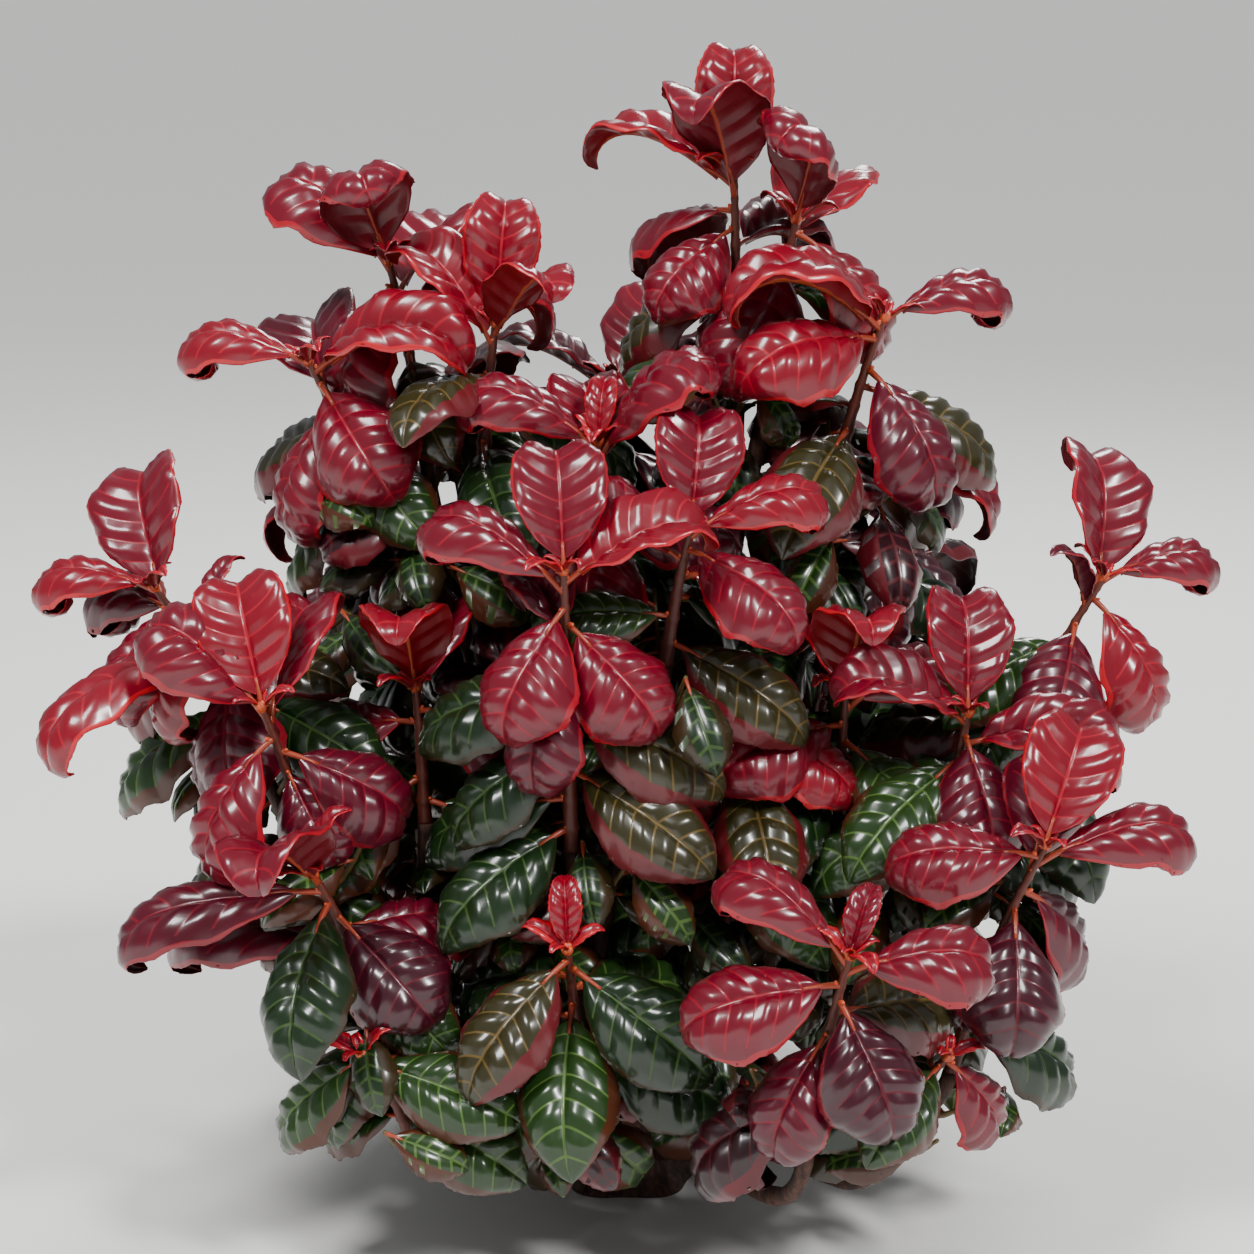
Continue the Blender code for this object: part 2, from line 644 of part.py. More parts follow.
def swollen_copy(piece, name, collection):
    """A copy of a solid grown by the gap along its normals, to cut the limb that springs from it."""
    mesh = piece.data.copy()
    normals = [vertex.normal.copy() for vertex in mesh.vertices]
    for vertex, normal in zip(mesh.vertices, normals):
        vertex.co += normal * CUTTER_SWELL
    cutter = new_object(name, mesh, collection)
    cutter.hide_render = True
    cutter.display_type = "WIRE"
    return cutter


def cut_clear(limb, carrier, cutters):
    """Cuts a limb clear of what carries it, with the gap between them."""
    cutter = swollen_copy(carrier, "cutter", cutters)
    apply_boolean(limb, "DIFFERENCE", cutter)
    bpy.data.meshes.remove(cutter.data)
    keep_largest(limb)


def make_boughs(boughs, foot, parts, cutters, material):
    """The boughs, each cut clear of the foot or of the bough that carries it."""
    made = {}
    for name, (path, base_radius) in boughs.items():
        if name not in BOUGHLESS:
            radii = taper(base_radius, BOUGH_TIP_RADIUS, len(path))
            made[name] = tube("bough_" + name, path, radii, 1, parts)
    for shoot in SHOOTS:
        if shoot.name in made:
            cut_clear(made[shoot.name], made.get(shoot.carrier, foot), cutters)
            made[shoot.name].data.materials.append(material)
    return made


def make_mass(shoot, leaves, bough, foot, parts, cutters, red_leaf, green_leaf):
    """One mass of foliage: the shoot's stem with its leaves fused on."""
    stem = stem_path(shoot)
    radii = taper(BOUGH_TIP_RADIUS, STEM_TIP_RADIUS, len(stem))
    if shoot.name in BOUGHLESS:
        path, base_radius = bough
        radii = taper(base_radius, BOUGH_TIP_RADIUS, len(path))[:-2] + radii
        stem = path[:-2] + stem
    mass = tube("leaves_" + shoot.name, stem, radii, 0, parts)
    if shoot.name in BOUGHLESS:
        cut_clear(mass, foot, cutters)
    loose = bpy.data.collections.new("loose_leaves")
    bpy.context.scene.collection.children.link(loose)
    for frames, length, form in leaves:
        points, faces = leaf_solid(frames, length, form)
        new_object("leaf", mesh_from("leaf", points, faces), loose)
    # The exact solver leaves one of the masses in two bodies that touch at a point
    apply_boolean(mass, "UNION", loose, "MANIFOLD")
    for leaf in list(loose.objects):
        bpy.data.meshes.remove(leaf.data)
    bpy.data.collections.remove(loose)
    scraps = keep_largest(mass)
    greens = sum(1 for leaf in leaves if leaf[2] is FORMS["green"])
    mass.data.materials.clear()
    mass.data.materials.append(green_leaf if greens > len(leaves) / 2 else red_leaf)
    return mass, scraps


def main():
    for piece in list(bpy.data.objects):
        bpy.data.objects.remove(piece)
    parts = bpy.data.collections.new("coastal_doghobble")
    cutters = bpy.data.collections.new("cutters")
    for collection in (parts, cutters):
        bpy.context.scene.collection.children.link(collection)
    bark = new_material("bark", BARK_COLOUR, 0.7)
    red_leaf = new_material("red_leaf", RED_LEAF_COLOUR, 0.3)
    green_leaf = new_material("green_leaf", GREEN_LEAF_COLOUR, 0.35)
    foot = make_foot(parts, bark)
    boughs = bough_paths()
    make_boughs(boughs, foot, parts, cutters, bark)
    placed = grow_leaves(boughs)
    total = 0
    for shoot in SHOOTS:
        mass, scraps = make_mass(shoot, placed[shoot.name], boughs[shoot.name], foot, parts, cutters,
                                 red_leaf, green_leaf)
        wanted = len(leaf_words(shoot))
        total += len(placed[shoot.name])
        print(f"{mass.name}: {len(placed[shoot.name])} of {wanted} leaves, "
              f"{len(mass.data.polygons)} triangles, {scraps} scraps dropped")
    count = sum(len(piece.data.polygons) for piece in parts.objects)
    print(f"{total} leaves, {len(parts.objects)} solids, {count} faces")


main()
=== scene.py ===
# %% [markdown]
# # A coastal doghobble, dressed leaf by leaf
#
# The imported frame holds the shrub's foot, its boughs and one plain solid for each leafy shoot. This lesson
# grows the fine plant on that frame: bark with furrows, twigs with nodes, stalks, buds, and puckered leaves
# with veins, rims and curled tips. The same planting rule that made the solids is written again here, so each
# fine leaf lies where its solid leaf is.

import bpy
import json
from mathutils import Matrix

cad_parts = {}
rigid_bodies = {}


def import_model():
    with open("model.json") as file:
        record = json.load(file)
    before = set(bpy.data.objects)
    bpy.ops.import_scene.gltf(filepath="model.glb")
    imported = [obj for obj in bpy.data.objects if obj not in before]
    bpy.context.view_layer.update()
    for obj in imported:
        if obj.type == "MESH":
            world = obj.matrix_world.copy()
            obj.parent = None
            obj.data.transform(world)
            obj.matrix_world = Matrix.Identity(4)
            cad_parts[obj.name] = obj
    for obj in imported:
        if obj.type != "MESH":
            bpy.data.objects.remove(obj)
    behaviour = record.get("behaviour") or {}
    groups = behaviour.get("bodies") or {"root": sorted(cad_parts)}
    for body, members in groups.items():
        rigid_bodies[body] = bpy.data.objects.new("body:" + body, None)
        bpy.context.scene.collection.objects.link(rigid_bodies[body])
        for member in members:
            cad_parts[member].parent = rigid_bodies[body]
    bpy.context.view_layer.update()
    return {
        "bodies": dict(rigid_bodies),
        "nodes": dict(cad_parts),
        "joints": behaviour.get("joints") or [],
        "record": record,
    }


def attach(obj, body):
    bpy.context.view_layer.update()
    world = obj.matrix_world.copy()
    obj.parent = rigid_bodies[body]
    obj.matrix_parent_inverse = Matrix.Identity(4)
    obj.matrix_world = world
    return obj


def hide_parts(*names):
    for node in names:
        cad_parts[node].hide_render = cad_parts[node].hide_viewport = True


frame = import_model()
print("frame nodes:", len(frame["nodes"]))

# %% Modules and small constants
import json
import math
from collections import namedtuple

import bpy
import numpy as np
from mathutils import Quaternion, Vector, noise
from mathutils.bvhtree import BVHTree

MM = 0.001
UP = Vector((0.0, 0.0, 1.0))
SEED = 7

# %% [markdown]
# ## The camera
#
# The photograph looks slightly down on the shrub from in front. A long lens keeps the near and the far
# leaves at nearly one scale. The distance, the height aimed at and the lens were worked out from the leaf
# sizes near and far, and the plant's middle sits just under the middle of the picture.

# %% Camera
CAMERA_DISTANCE = 1.25
CAMERA_ELEVATION = math.radians(12)
CAMERA_TARGET = Vector((0.0, 0.0, 0.232))
SENSOR = 36.0
PICTURE_SIDE = 1254
FOCAL_PIXELS = 3125.0


def aim(thing, target):
    """Turns a camera or a light to look at a point."""
    thing.rotation_euler = (target - thing.location).to_track_quat("-Z", "Y").to_euler()


camera_data = bpy.data.cameras.new("camera")
camera_data.sensor_width = SENSOR
camera_data.lens = SENSOR * FOCAL_PIXELS / PICTURE_SIDE
camera = bpy.data.objects.new("camera", camera_data)
camera.location = CAMERA_TARGET + Vector(
    (0.0, -math.cos(CAMERA_ELEVATION), math.sin(CAMERA_ELEVATION))) * CAMERA_DISTANCE
aim(camera, CAMERA_TARGET)
bpy.context.scene.collection.objects.link(camera)
bpy.context.scene.camera = camera
print("lens", round(camera_data.lens, 1), "mm")

# %% [markdown]
# ## Floor and light
#
# A pale floor and a pale world stand in for a photo studio. Glossy leaves live from what they mirror, so one
# broad lamp hangs high in front on the left, where the photograph's own light comes from, and a second one
# behind draws bright edges on the curled tips. The lamps don't reach the floor's far edge. A sun from the
# right lights it evenly all the way, and leaves small crisp lights on the wax.

# %% Colour and node helpers
def linear(colour):
    """An sRGB hex colour as the linear values that a shader takes."""
    channels = [int(colour[start:start + 2], 16) / 255 for start in (1, 3, 5)]
    return (*(c / 12.92 if c <= 0.04045 else ((c + 0.055) / 1.055) ** 2.4 for c in channels), 1.0)


def node(tree, kind, settings=None, links=None):
    """Adds a node, sets its properties and sockets, and links its inputs."""
    made = tree.nodes.new(kind)
    for name, value in (settings or {}).items():
        if name in made.inputs:
            made.inputs[name].default_value = value
        else:
            setattr(made, name, value)
    for name, socket in (links or {}).items():
        tree.links.new(socket, made.inputs[name])
    return made


# %% Floor, world and lamps
FLOOR_SIDE = 300.0
FLOOR_ROUGHNESS = 0.7
WORLD_STRENGTH = 0.32
LAMPS = [
    ("sky_key", (-0.8, -1.1, 2.0), 44.0, 0.6),
    ("rim", (0.4, 1.3, 1.6), 26.0, 0.6),
]
SUN_PLACE = (1.2, -1.4, 2.0)
SUN_POWER = 2.4
SUN_SPREAD = math.radians(10)

bpy.ops.mesh.primitive_plane_add(size=FLOOR_SIDE, location=(0, 0, 0))
floor = bpy.context.object
floor.name = "floor"
floor_paint = bpy.data.materials.new("pale_studio_floor")
floor_paint.use_nodes = True
floor_shader = floor_paint.node_tree.nodes["Principled BSDF"]
floor_shader.inputs["Base Color"].default_value = linear("#F4F3F0")
floor_shader.inputs["Roughness"].default_value = FLOOR_ROUGHNESS
floor.data.materials.append(floor_paint)

world = bpy.data.worlds.new("studio")
bpy.context.scene.world = world
world.use_nodes = True
backdrop = world.node_tree.nodes["Background"]
backdrop.inputs["Color"].default_value = linear("#EEF1F5")
backdrop.inputs["Strength"].default_value = WORLD_STRENGTH


def hang_lamp(name, kind, place, power):
    """Hangs a lamp that looks at the middle of the plant."""
    lamp_data = bpy.data.lights.new(name, kind)
    lamp_data.energy = power
    lamp = bpy.data.objects.new(name, lamp_data)
    lamp.location = place
    aim(lamp, CAMERA_TARGET)
    bpy.context.scene.collection.objects.link(lamp)
    return lamp_data


for lamp_name, place, power, size in LAMPS:
    hang_lamp(lamp_name, "AREA", place, power).size = size
hang_lamp("soft_sun", "SUN", SUN_PLACE, SUN_POWER).angle = SUN_SPREAD
print(len(LAMPS), "lamps and a sun")

# %% [markdown]
# ## The planting rule: sizes
#
# These are the source's own driving sizes. A shoot is a leafy stem at the tip of its bough. Its row gives
# where its growing tip stands, how it leans, what carries it and which forms of leaf it bears. The fine
# leaves could be cut from the solids' own meshes, but those have only a few faces each. Growing them again by
# the same rule lets them take any detail.

# %% Driving sizes
# The whole shrub, as far as its leaf tips may reach
PLANT_WIDTH = 0.486
PLANT_DEPTH = 0.420
PLANT_HEIGHT = 0.468
LOWEST_LEAF = 0.006
SKIRT_START = 0.060
SKIRT_RISE = 0.42

# The woody foot
FOOT_HEIGHT = 0.042
FOOT_RADIUS = 0.019
FOOT_FLARE_RADIUS = 0.028
FOOT_LOBES = 5
FOOT_LOBE_DEPTH = 0.07

# Clearance between pieces that meet, and between leaves that pass each other
GAP = 0.0003
LEAF_CLEARANCE = 0.0004
TEST_SIDES = 6
FOOT_TEST_SIDES = 12

# Boughs
MAIN_BASE_RADIUS = 0.0046
SIDE_BASE_RADIUS = 0.0036
BOUGH_TIP_RADIUS = 0.0030
BOUGH_POINTS = 6
BOUGH_SINK = 0.004
BOUGH_SWING = 0.38
FORK_DROP = 0.7
STRAIGHT_END = 0.003

# Where the main boughs leave the foot: radius and height of each ring, and their lean there
RINGS = {
    "top": (0.0085, 0.034, 8.0),
    "shoulder": (0.0150, 0.031, 34.0),
    "side": (0.0185, 0.016, 66.0),
}

# Shoots
STEM_TIP_RADIUS = 0.0012
STEM_POINTS = 6
STEM_RISE = 0.9
FIRST_NODE = 0.002
FIRST_INTERNODE = 0.0030
INTERNODE_GROWTH = 0.0011
LONGEST_INTERNODE = 0.0120
BARE_STEM = 0.010
GOLDEN_ANGLE = 137.5

# Leaves
LEAF_LENGTH = 0.066
LEAF_THICKNESS = 0.0012
PETIOLE_SHARE = 0.10
PETIOLE_HALF_WIDTH = 0.0009
MIDRIB_STEPS = 20
WIDEST_AT = 1.12
OUTLINE_POWER = 0.66
TIP_POINT = 0.34
YOUNG_SIZES = (0.84, 0.94)
SUN = Vector((-0.15, -0.60, 0.78))
LIGHT_OUTWARD = 0.45
MOST_ROLL = 52
UPRIGHTNESS = 0.7

# %% Forms of leaf
# How a leaf is held, in degrees: lift above the plane square to the stem, bend spread over the
# midrib, curl gathered at the tip by the power, fold at the midrib and at the margin, twist and
# sway. Light is how far it rolls to face the light. Length is a share of LEAF_LENGTH and width a
# share of that leaf's own length.
Form = namedtuple("Form", "lift bend curl power fold cup twist sway light length width")
FORMS = {
    "arch": Form(52, 50, 262, 2.8, 12, -52, 6, 0, 0.5, 1.38, 0.38),
    "hook": Form(42, 54, 246, 2.9, 12, -50, 8, 0, 0.5, 1.22, 0.48),
    "reach": Form(18, 26, 150, 4.6, 16, -38, 10, 4, 0.5, 1.46, 0.36),
    "crook": Form(66, 14, 246, 3.0, 10, -26, -12, 6, 0.3, 1.22, 0.54),
    "flag": Form(84, -24, 170, 3.4, 20, 24, 30, 0, 0.0, 1.02, 0.55),
    "spoon": Form(40, 24, 116, 3.2, 16, 50, 0, 0, 0.4, 1.06, 0.66),
    "fold": Form(28, 46, 112, 2.8, 54, 16, 14, -8, 0.4, 1.14, 0.62),
    "flat": Form(4, 30, 112, 3.2, 10, -40, -8, 0, 0.6, 1.08, 0.58),
    "face": Form(-30, 20, 120, 3.4, 10, -40, 6, 0, 0.6, 0.98, 0.68),
    "droop": Form(-18, 50, 130, 3.0, 12, -44, 10, 6, 0.6, 1.12, 0.54),
    "cup": Form(70, 16, 148, 3.8, 10, 52, 0, 0, 0.0, 1.10, 0.70),
    "bud": Form(72, 16, 80, 2.6, 34, 20, 0, 0, 0.0, 0.56, 0.44),
    "green": Form(-12, 26, 58, 2.8, 12, -34, 6, 4, 0.7, 1.08, 0.56),
}

# %% Shoots
# One row for each shoot: the place of its growing tip in millimetres, the compass heading and the
# angle of its lean, the ring of the foot or the shoot whose bough carries it, how far along that
# bough it forks, the heading of its youngest leaf, its size and its leaves from young to old.
# A leaf may name its own heading after a colon, and a star gives how many of a kind follow each
# other. Headings run from +X toward +Y.
Shoot = namedtuple("Shoot", "name tip toward lean carrier fork first size leaves")
SHOOTS = [
    Shoot("crown_top", (42, 10, 411), 110, 4, "top", 0.0, 100, 1.12,
          "flag:70 spoon:165 cup:215 flat:130 face:265 fold:20 green*4"),
    Shoot("crown_side", (66, 2, 394), 0, 12, "crown_top", 0.72, 10, 1.16,
          "crook:285 droop:345 spoon:70 face:240 green*3"),
    Shoot("upper_left", (-93, 0, 378), 175, 14, "top", 0.0, 150, 1.12,
          "crook:240 crook:180 droop:215 spoon:60 fold:340 flat:280 green*4"),
    Shoot("left_cup", (-51, -15, 355), 20, 8, "upper_left", 0.62, 30, 1.10,
          "flag:70 cup:285 spoon:190 flat:110 green:250 green*3"),
    Shoot("left_arch", (-123, -20, 341), 190, 30, "upper_left", 0.42, 170, 1.12,
          "arch:182 fold:335 face:300 spoon:95 droop:235 green*4"),
    Shoot("upper_right", (100, -10, 357), 0, 22, "crown_top", 0.50, 10, 1.12,
          "arch:2 fold:185 flat:225 spoon:90 droop:315 green*4"),
    Shoot("centre_top", (-11, -45, 314), 268, 14, "top", 0.0, 140, 1.06,
          "bud:80 arch:195 crook:345 cup:120 flat:190 face:260 flat:320 green*4"),
    Shoot("centre", (-23, -105, 275), 265, 16, "shoulder", 0.0, 100, 1.04,
          "cup:95 spoon:5 arch:176 face:232 face:325 fold:60 droop:275 green:200 green:340 "
          "green:230 green:320 green:150 green:215"),
    Shoot("centre_right", (24, -80, 287), 320, 18, "centre", 0.50, 90, 1.0,
          "cup:95 arch:352 flat:315 spoon:205 flat:40 green*3"),
    Shoot("left_tip", (-184, -30, 254), 185, 40, "left_mid", 0.60, 180, 1.06,
          "arch:181 cup:75 face:240 hook:140 droop:300 green*5"),
    Shoot("left_mid", (-162, -60, 246), 205, 38, "shoulder", 0.0, 180, 1.06,
          "droop:188 bud:40 reach:205 flat:110 face:250 droop:160 green*5"),
    Shoot("left_front", (-135, -100, 223), 235, 30, "shoulder", 0.0, 0, 1.06,
          "cup:95 crook:170 spoon:45 droop:215 droop:345 face:280 flat:140 green*3"),
    Shoot("left_low", (-116, -110, 162), 225, 34, "side", 0.0, 90, 1.06,
          "bud:20 cup:255 reach:186 green:245 face:310 flat:350 reach:160 green*3"),
    Shoot("cup_left", (-81, -55, 220), 250, 10, "left_front", 0.55, 100, 1.04,
          "cup:265 spoon:80 flat:330 flat:170 green:25 green*3"),
    Shoot("cup_right", (84, -55, 219), 290, 8, "right_mid", 0.50, 100, 1.04,
          "cup:280 spoon:100 hook:20 flat:200 green:320 green*3"),
    Shoot("right_dark", (99, 40, 285), 20, 20, "shoulder", 0.0, 10, 1.06,
          "fold:350 flat:200 spoon:90 hook:30 droop:290 green*7"),
    Shoot("right_tip", (184, -40, 260), 350, 34, "shoulder", 0.0, 10, 1.04,
          "arch:6 cup:120 droop:335 bud:215 face:280 green:250 green*5"),
    Shoot("right_inner", (129, -75, 215), 300, 18, "right_mid", 0.68, 100, 1.0,
          "cup:100 spoon:190 face:290 fold:350 green:240 green*3"),
    Shoot("right_mid", (154, -115, 174), 325, 30, "shoulder", 0.0, 90, 1.06,
          "cup:80 flat:190 arch:352 crook:130 droop:15 face:280 face:225 green*5"),
    Shoot("front_right", (79, -165, 148), 292, 30, "side", 0.0, 170, 1.04,
          "bud:70 arch:165 hook:345 flat:200 face:305 green:30 droop:270 droop:325 droop:350 "
          "droop:215 green:20"),
    Shoot("low_centre", (-22, -118, 135), 262, 34, "side", 0.0, 30, 1.06,
          "bud:90 green:225 green:318 green:150 green:30 green:262 green:190 green:340 green:240"),
    Shoot("low_left", (-98, -122, 96), 228, 44, "side", 0.0, 30, 1.0,
          "green:200 green:330 green:60 green:250 green:150 green:290 green:190"),
    Shoot("low_right", (118, -130, 98), 318, 44, "side", 0.0, 30, 1.0,
          "droop:350 green:290 green:60 green:225 green:20 green:320 green:270"),
    Shoot("inner_right", (46, -62, 205), 290, 18, "shoulder", 0.0, 60, 1.0,
          "flat:330 green:200 green:60 green:280 green:150 green*6"),
    Shoot("left_dark", (-95, 45, 275), 160, 22, "shoulder", 0.0, 10, 1.06,
          "fold:185 spoon:60 flat:300 hook:140 droop:220 green*7"),
    Shoot("back_top", (-5, 70, 322), 90, 12, "top", 0.0, 40, 1.06,
          "cup spoon arch face fold droop green*7"),
    Shoot("back_left", (-118, 105, 262), 138, 32, "shoulder", 0.0, 130, 1.06,
          "spoon arch crook face droop fold green*7"),
    Shoot("back_right", (118, 100, 262), 40, 32, "shoulder", 0.0, 60, 1.06,
          "arch spoon face crook droop fold green*7"),
    Shoot("back_mid", (4, 138, 246), 92, 30, "shoulder", 0.0, 90, 1.06,
          "crook arch spoon face fold droop green*7"),
    Shoot("back_left_low", (-122, 118, 150), 138, 44, "side", 0.0, 140, 1.06,
          "arch flat spoon face droop green*6"),
    Shoot("back_right_low", (126, 112, 150), 42, 44, "side", 0.0, 50, 1.06,
          "arch flat spoon face droop green*6"),
    Shoot("back_low", (-4, 150, 116), 92, 48, "side", 0.0, 90, 1.06,
          "face droop flat green*5"),
]

# Angles and sizes that a leaf tries in turn until it has room: heading, lift and share of its size
TRIES = [
    (0, 0, 1.0), (12, 0, 1.0), (-12, 0, 1.0), (0, 12, 1.0), (0, -12, 1.0), (24, 6, 1.0),
    (-24, 6, 1.0), (14, 18, 0.92), (-14, 18, 0.92), (34, -8, 0.9), (-34, -8, 0.9), (0, 22, 0.84),
    (46, 8, 0.84), (-46, 8, 0.84), (20, -16, 0.76), (-20, -16, 0.76), (60, 14, 0.7), (-60, 14, 0.7),
]

# %% [markdown]
# ## The planting rule: stems and boughs
#
# Leaves follow each other round a stem by the golden angle, close together at the growing tip. A bough is
# one smooth limb from the foot, or from the bough that carries it, to the base of its shoot's stem. It could
# be drawn as a curve by hand. Here it is worked out from its two ends and their directions, so that it stays
# smooth wherever its shoot stands.

# %% Directions, nodes and stems
def heading(degrees, tilt):
    """Unit vector at a compass heading, leaning by tilt degrees from the vertical."""
    turn, lean = math.radians(degrees), math.radians(tilt)
    return Vector((math.cos(turn) * math.sin(lean), math.sin(turn) * math.sin(lean), math.cos(lean)))


def leaf_words(shoot):
    """The form and heading of each leaf of a shoot, from young to old."""
    words = []
    for word in shoot.leaves.split():
        kind, _, times = word.partition("*")
        form, _, own_heading = kind.partition(":")
        for _ in range(int(times or 1)):
            turn = float(own_heading) if own_heading else shoot.first + len(words) * GOLDEN_ANGLE
            words.append((form, turn))
    return words


def node_depths(count):
    """Distance of each leaf's node below the growing tip: close together there, wider below."""
    depths, depth = [], FIRST_NODE
    for number in range(count):
        depths.append(depth)
        depth += min(FIRST_INTERNODE + number * INTERNODE_GROWTH, LONGEST_INTERNODE)
    return depths


def stem_path(shoot):
    """Points and directions of a shoot's stem from its base to its growing tip."""
    tip = Vector(shoot.tip) * MM
    length = node_depths(len(leaf_words(shoot)))[-1] + BARE_STEM
    at_tip = heading(shoot.toward, shoot.lean)
    at_base = (at_tip + UP * STEM_RISE).normalized()
    path, point = [(tip, at_tip)], tip.copy()
    for number in range(1, STEM_POINTS):
        share = number / (STEM_POINTS - 1)
        along = at_tip.lerp(at_base, share).normalized()
        point = point - along * (length / (STEM_POINTS - 1))
        path.append((point.copy(), along))
    return path[::-1]


def on_path(path, distance):
    """Point and direction at a distance back from the last point of a path."""
    for (start, start_along), (end, end_along) in zip(path[-2::-1], path[:0:-1]):
        span = (end - start).length
        if distance <= span:
            share = distance / span
            return end.lerp(start, share), end_along.lerp(start_along, share).normalized()
        distance -= span
    return path[0]


def bezier(start, leaving, end, arriving, count):
    """Points and directions along a smooth limb between two places with given directions."""
    reach = (end - start).length * BOUGH_SWING
    a, b, c, d = start, start + leaving * reach, end - arriving * reach, end
    path = []
    for number in range(count):
        t = number / (count - 1)
        s = 1.0 - t
        point = a * s**3 + b * (3 * s * s * t) + c * (3 * s * t * t) + d * t**3
        along = (b - a) * (s * s) + (c - b) * (2 * s * t) + (d - c) * (t * t)
        path.append((point, along.normalized()))
    return path


def ring_turns(ring):
    """Even places round a ring of the foot for its boughs, turned to suit where the boughs go."""
    members = [shoot for shoot in SHOOTS if shoot.carrier == ring]
    turns = {shoot.name: math.degrees(math.atan2(shoot.tip[1], shoot.tip[0])) % 360 for shoot in members}
    order = sorted(turns, key=turns.get)
    spacing = 360 / len(order)
    offs = [math.radians(turns[name] - rank * spacing) for rank, name in enumerate(order)]
    offset = math.degrees(math.atan2(sum(map(math.sin, offs)), sum(map(math.cos, offs))))
    return {name: offset + rank * spacing for rank, name in enumerate(order)}


def taper(start, end, count):
    """Radii that shrink evenly along a limb."""
    return [start + (end - start) * number / (count - 1) for number in range(count)]


def path_length(path):
    """Length of a path from point to point."""
    return sum((b[0] - a[0]).length for a, b in zip(path, path[1:]))


# %% Boughs
def bough_lines():
    """Where each shoot's bough starts and ends and with which directions, and its base radius."""
    places = {ring: ring_turns(ring) for ring in RINGS}
    lines, paths = {}, {}
    waiting = list(SHOOTS)
    while waiting:
        shoot = waiting.pop(0)
        stem = stem_path(shoot)
        arriving = stem[0][1]
        end = stem[0][0] - arriving * GAP
        if shoot.carrier in RINGS:
            radius, height, lean = RINGS[shoot.carrier]
            turn = places[shoot.carrier][shoot.name]
            leaving = heading(turn, lean)
            foot_point = heading(turn, 90) * radius + UP * height
            start, base_radius = foot_point - leaving * BOUGH_SINK, MAIN_BASE_RADIUS
        elif shoot.carrier in paths:
            carrier = paths[shoot.carrier]
            back = shoot.fork * path_length(carrier)
            start, carrier_along = on_path([(p, -a) for p, a in carrier[::-1]], back)
            leaving = ((end - start).normalized() - carrier_along * FORK_DROP).normalized()
            base_radius = SIDE_BASE_RADIUS
        else:
            waiting.append(shoot)
            continue
        lines[shoot.name] = (start, leaving, end - arriving * STRAIGHT_END, arriving, base_radius)
        paths[shoot.name] = bezier(*lines[shoot.name][:4], BOUGH_POINTS) + [(end, arriving)]
    return lines, paths


lines, paths = bough_lines()
boughs = {name: (path, lines[name][4]) for name, path in paths.items()}
print(len(boughs), "boughs")

# %% [markdown]
# ## The planting rule: leaves
#
# A leaf starts as a row of points and directions down its midrib, which bends toward the underside, most of
# all at the tip. Before a leaf is kept, a thin solid of it is tried against every limb and leaf round it. A
# leaf without room turns, lifts or shrinks, or is skipped, so that leaves crowd but don't cross, as on the
# plant. The search trees come from Blender's BVH module, which tells quickly whether two meshes meet.

# %% Midrib and outline
def frames_along(root, along, upper, length, form):
    """Points and directions down a midrib that bends toward the underside of its leaf."""
    frames, point = [], root.copy()
    for number in range(MIDRIB_STEPS + 1):
        frames.append((point.copy(), along.copy(), upper.copy()))
        share = (number + 0.5) / MIDRIB_STEPS
        bend = form.bend + form.curl * (form.power + 1) * share**form.power
        across = along.cross(upper)
        turn = Quaternion(across, -math.radians(bend / MIDRIB_STEPS))
        turn = turn @ Quaternion(upper, math.radians(form.sway / MIDRIB_STEPS))
        turn = turn @ Quaternion(along, math.radians(form.twist / MIDRIB_STEPS))
        along, upper = turn @ along, turn @ upper
        point = point + along * (length / MIDRIB_STEPS)
    return frames


def frame_at(frames, share):
    """The midrib's point and directions at a share of its length."""
    place = share * MIDRIB_STEPS
    number = min(int(place), MIDRIB_STEPS - 1)
    part = place - number
    first, second = frames[number], frames[number + 1]
    return tuple(a.lerp(b, part) for a, b in zip(first, second))


def outline(share):
    """Half width of a blade, from 0 to 1, at a share of the blade's length."""
    moved = share**WIDEST_AT
    return (4.0 * moved * (1.0 - moved)) ** OUTLINE_POWER * (1.0 - TIP_POINT * share**3)


def section(side, fold, cup):
    """How far across and up a blade's margin lies, from fold and cup angles at midrib and margin."""
    low, high = math.radians(fold), math.radians(cup)
    change = high - low
    if abs(change) < 1e-3:
        return side * math.cos(low), math.sin(low)
    return side * (math.sin(high) - math.sin(low)) / change, (math.cos(low) - math.cos(high)) / change


def blade_stations(form):
    """Shares of the leaf's length at which its solid has a cross-section."""
    if form.curl > 150:
        return (PETIOLE_SHARE, 0.32, 0.56, 0.78, 0.91)
    if form.curl > 60:
        return (PETIOLE_SHARE, 0.34, 0.62, 0.86)
    return (PETIOLE_SHARE, 0.40, 0.76)


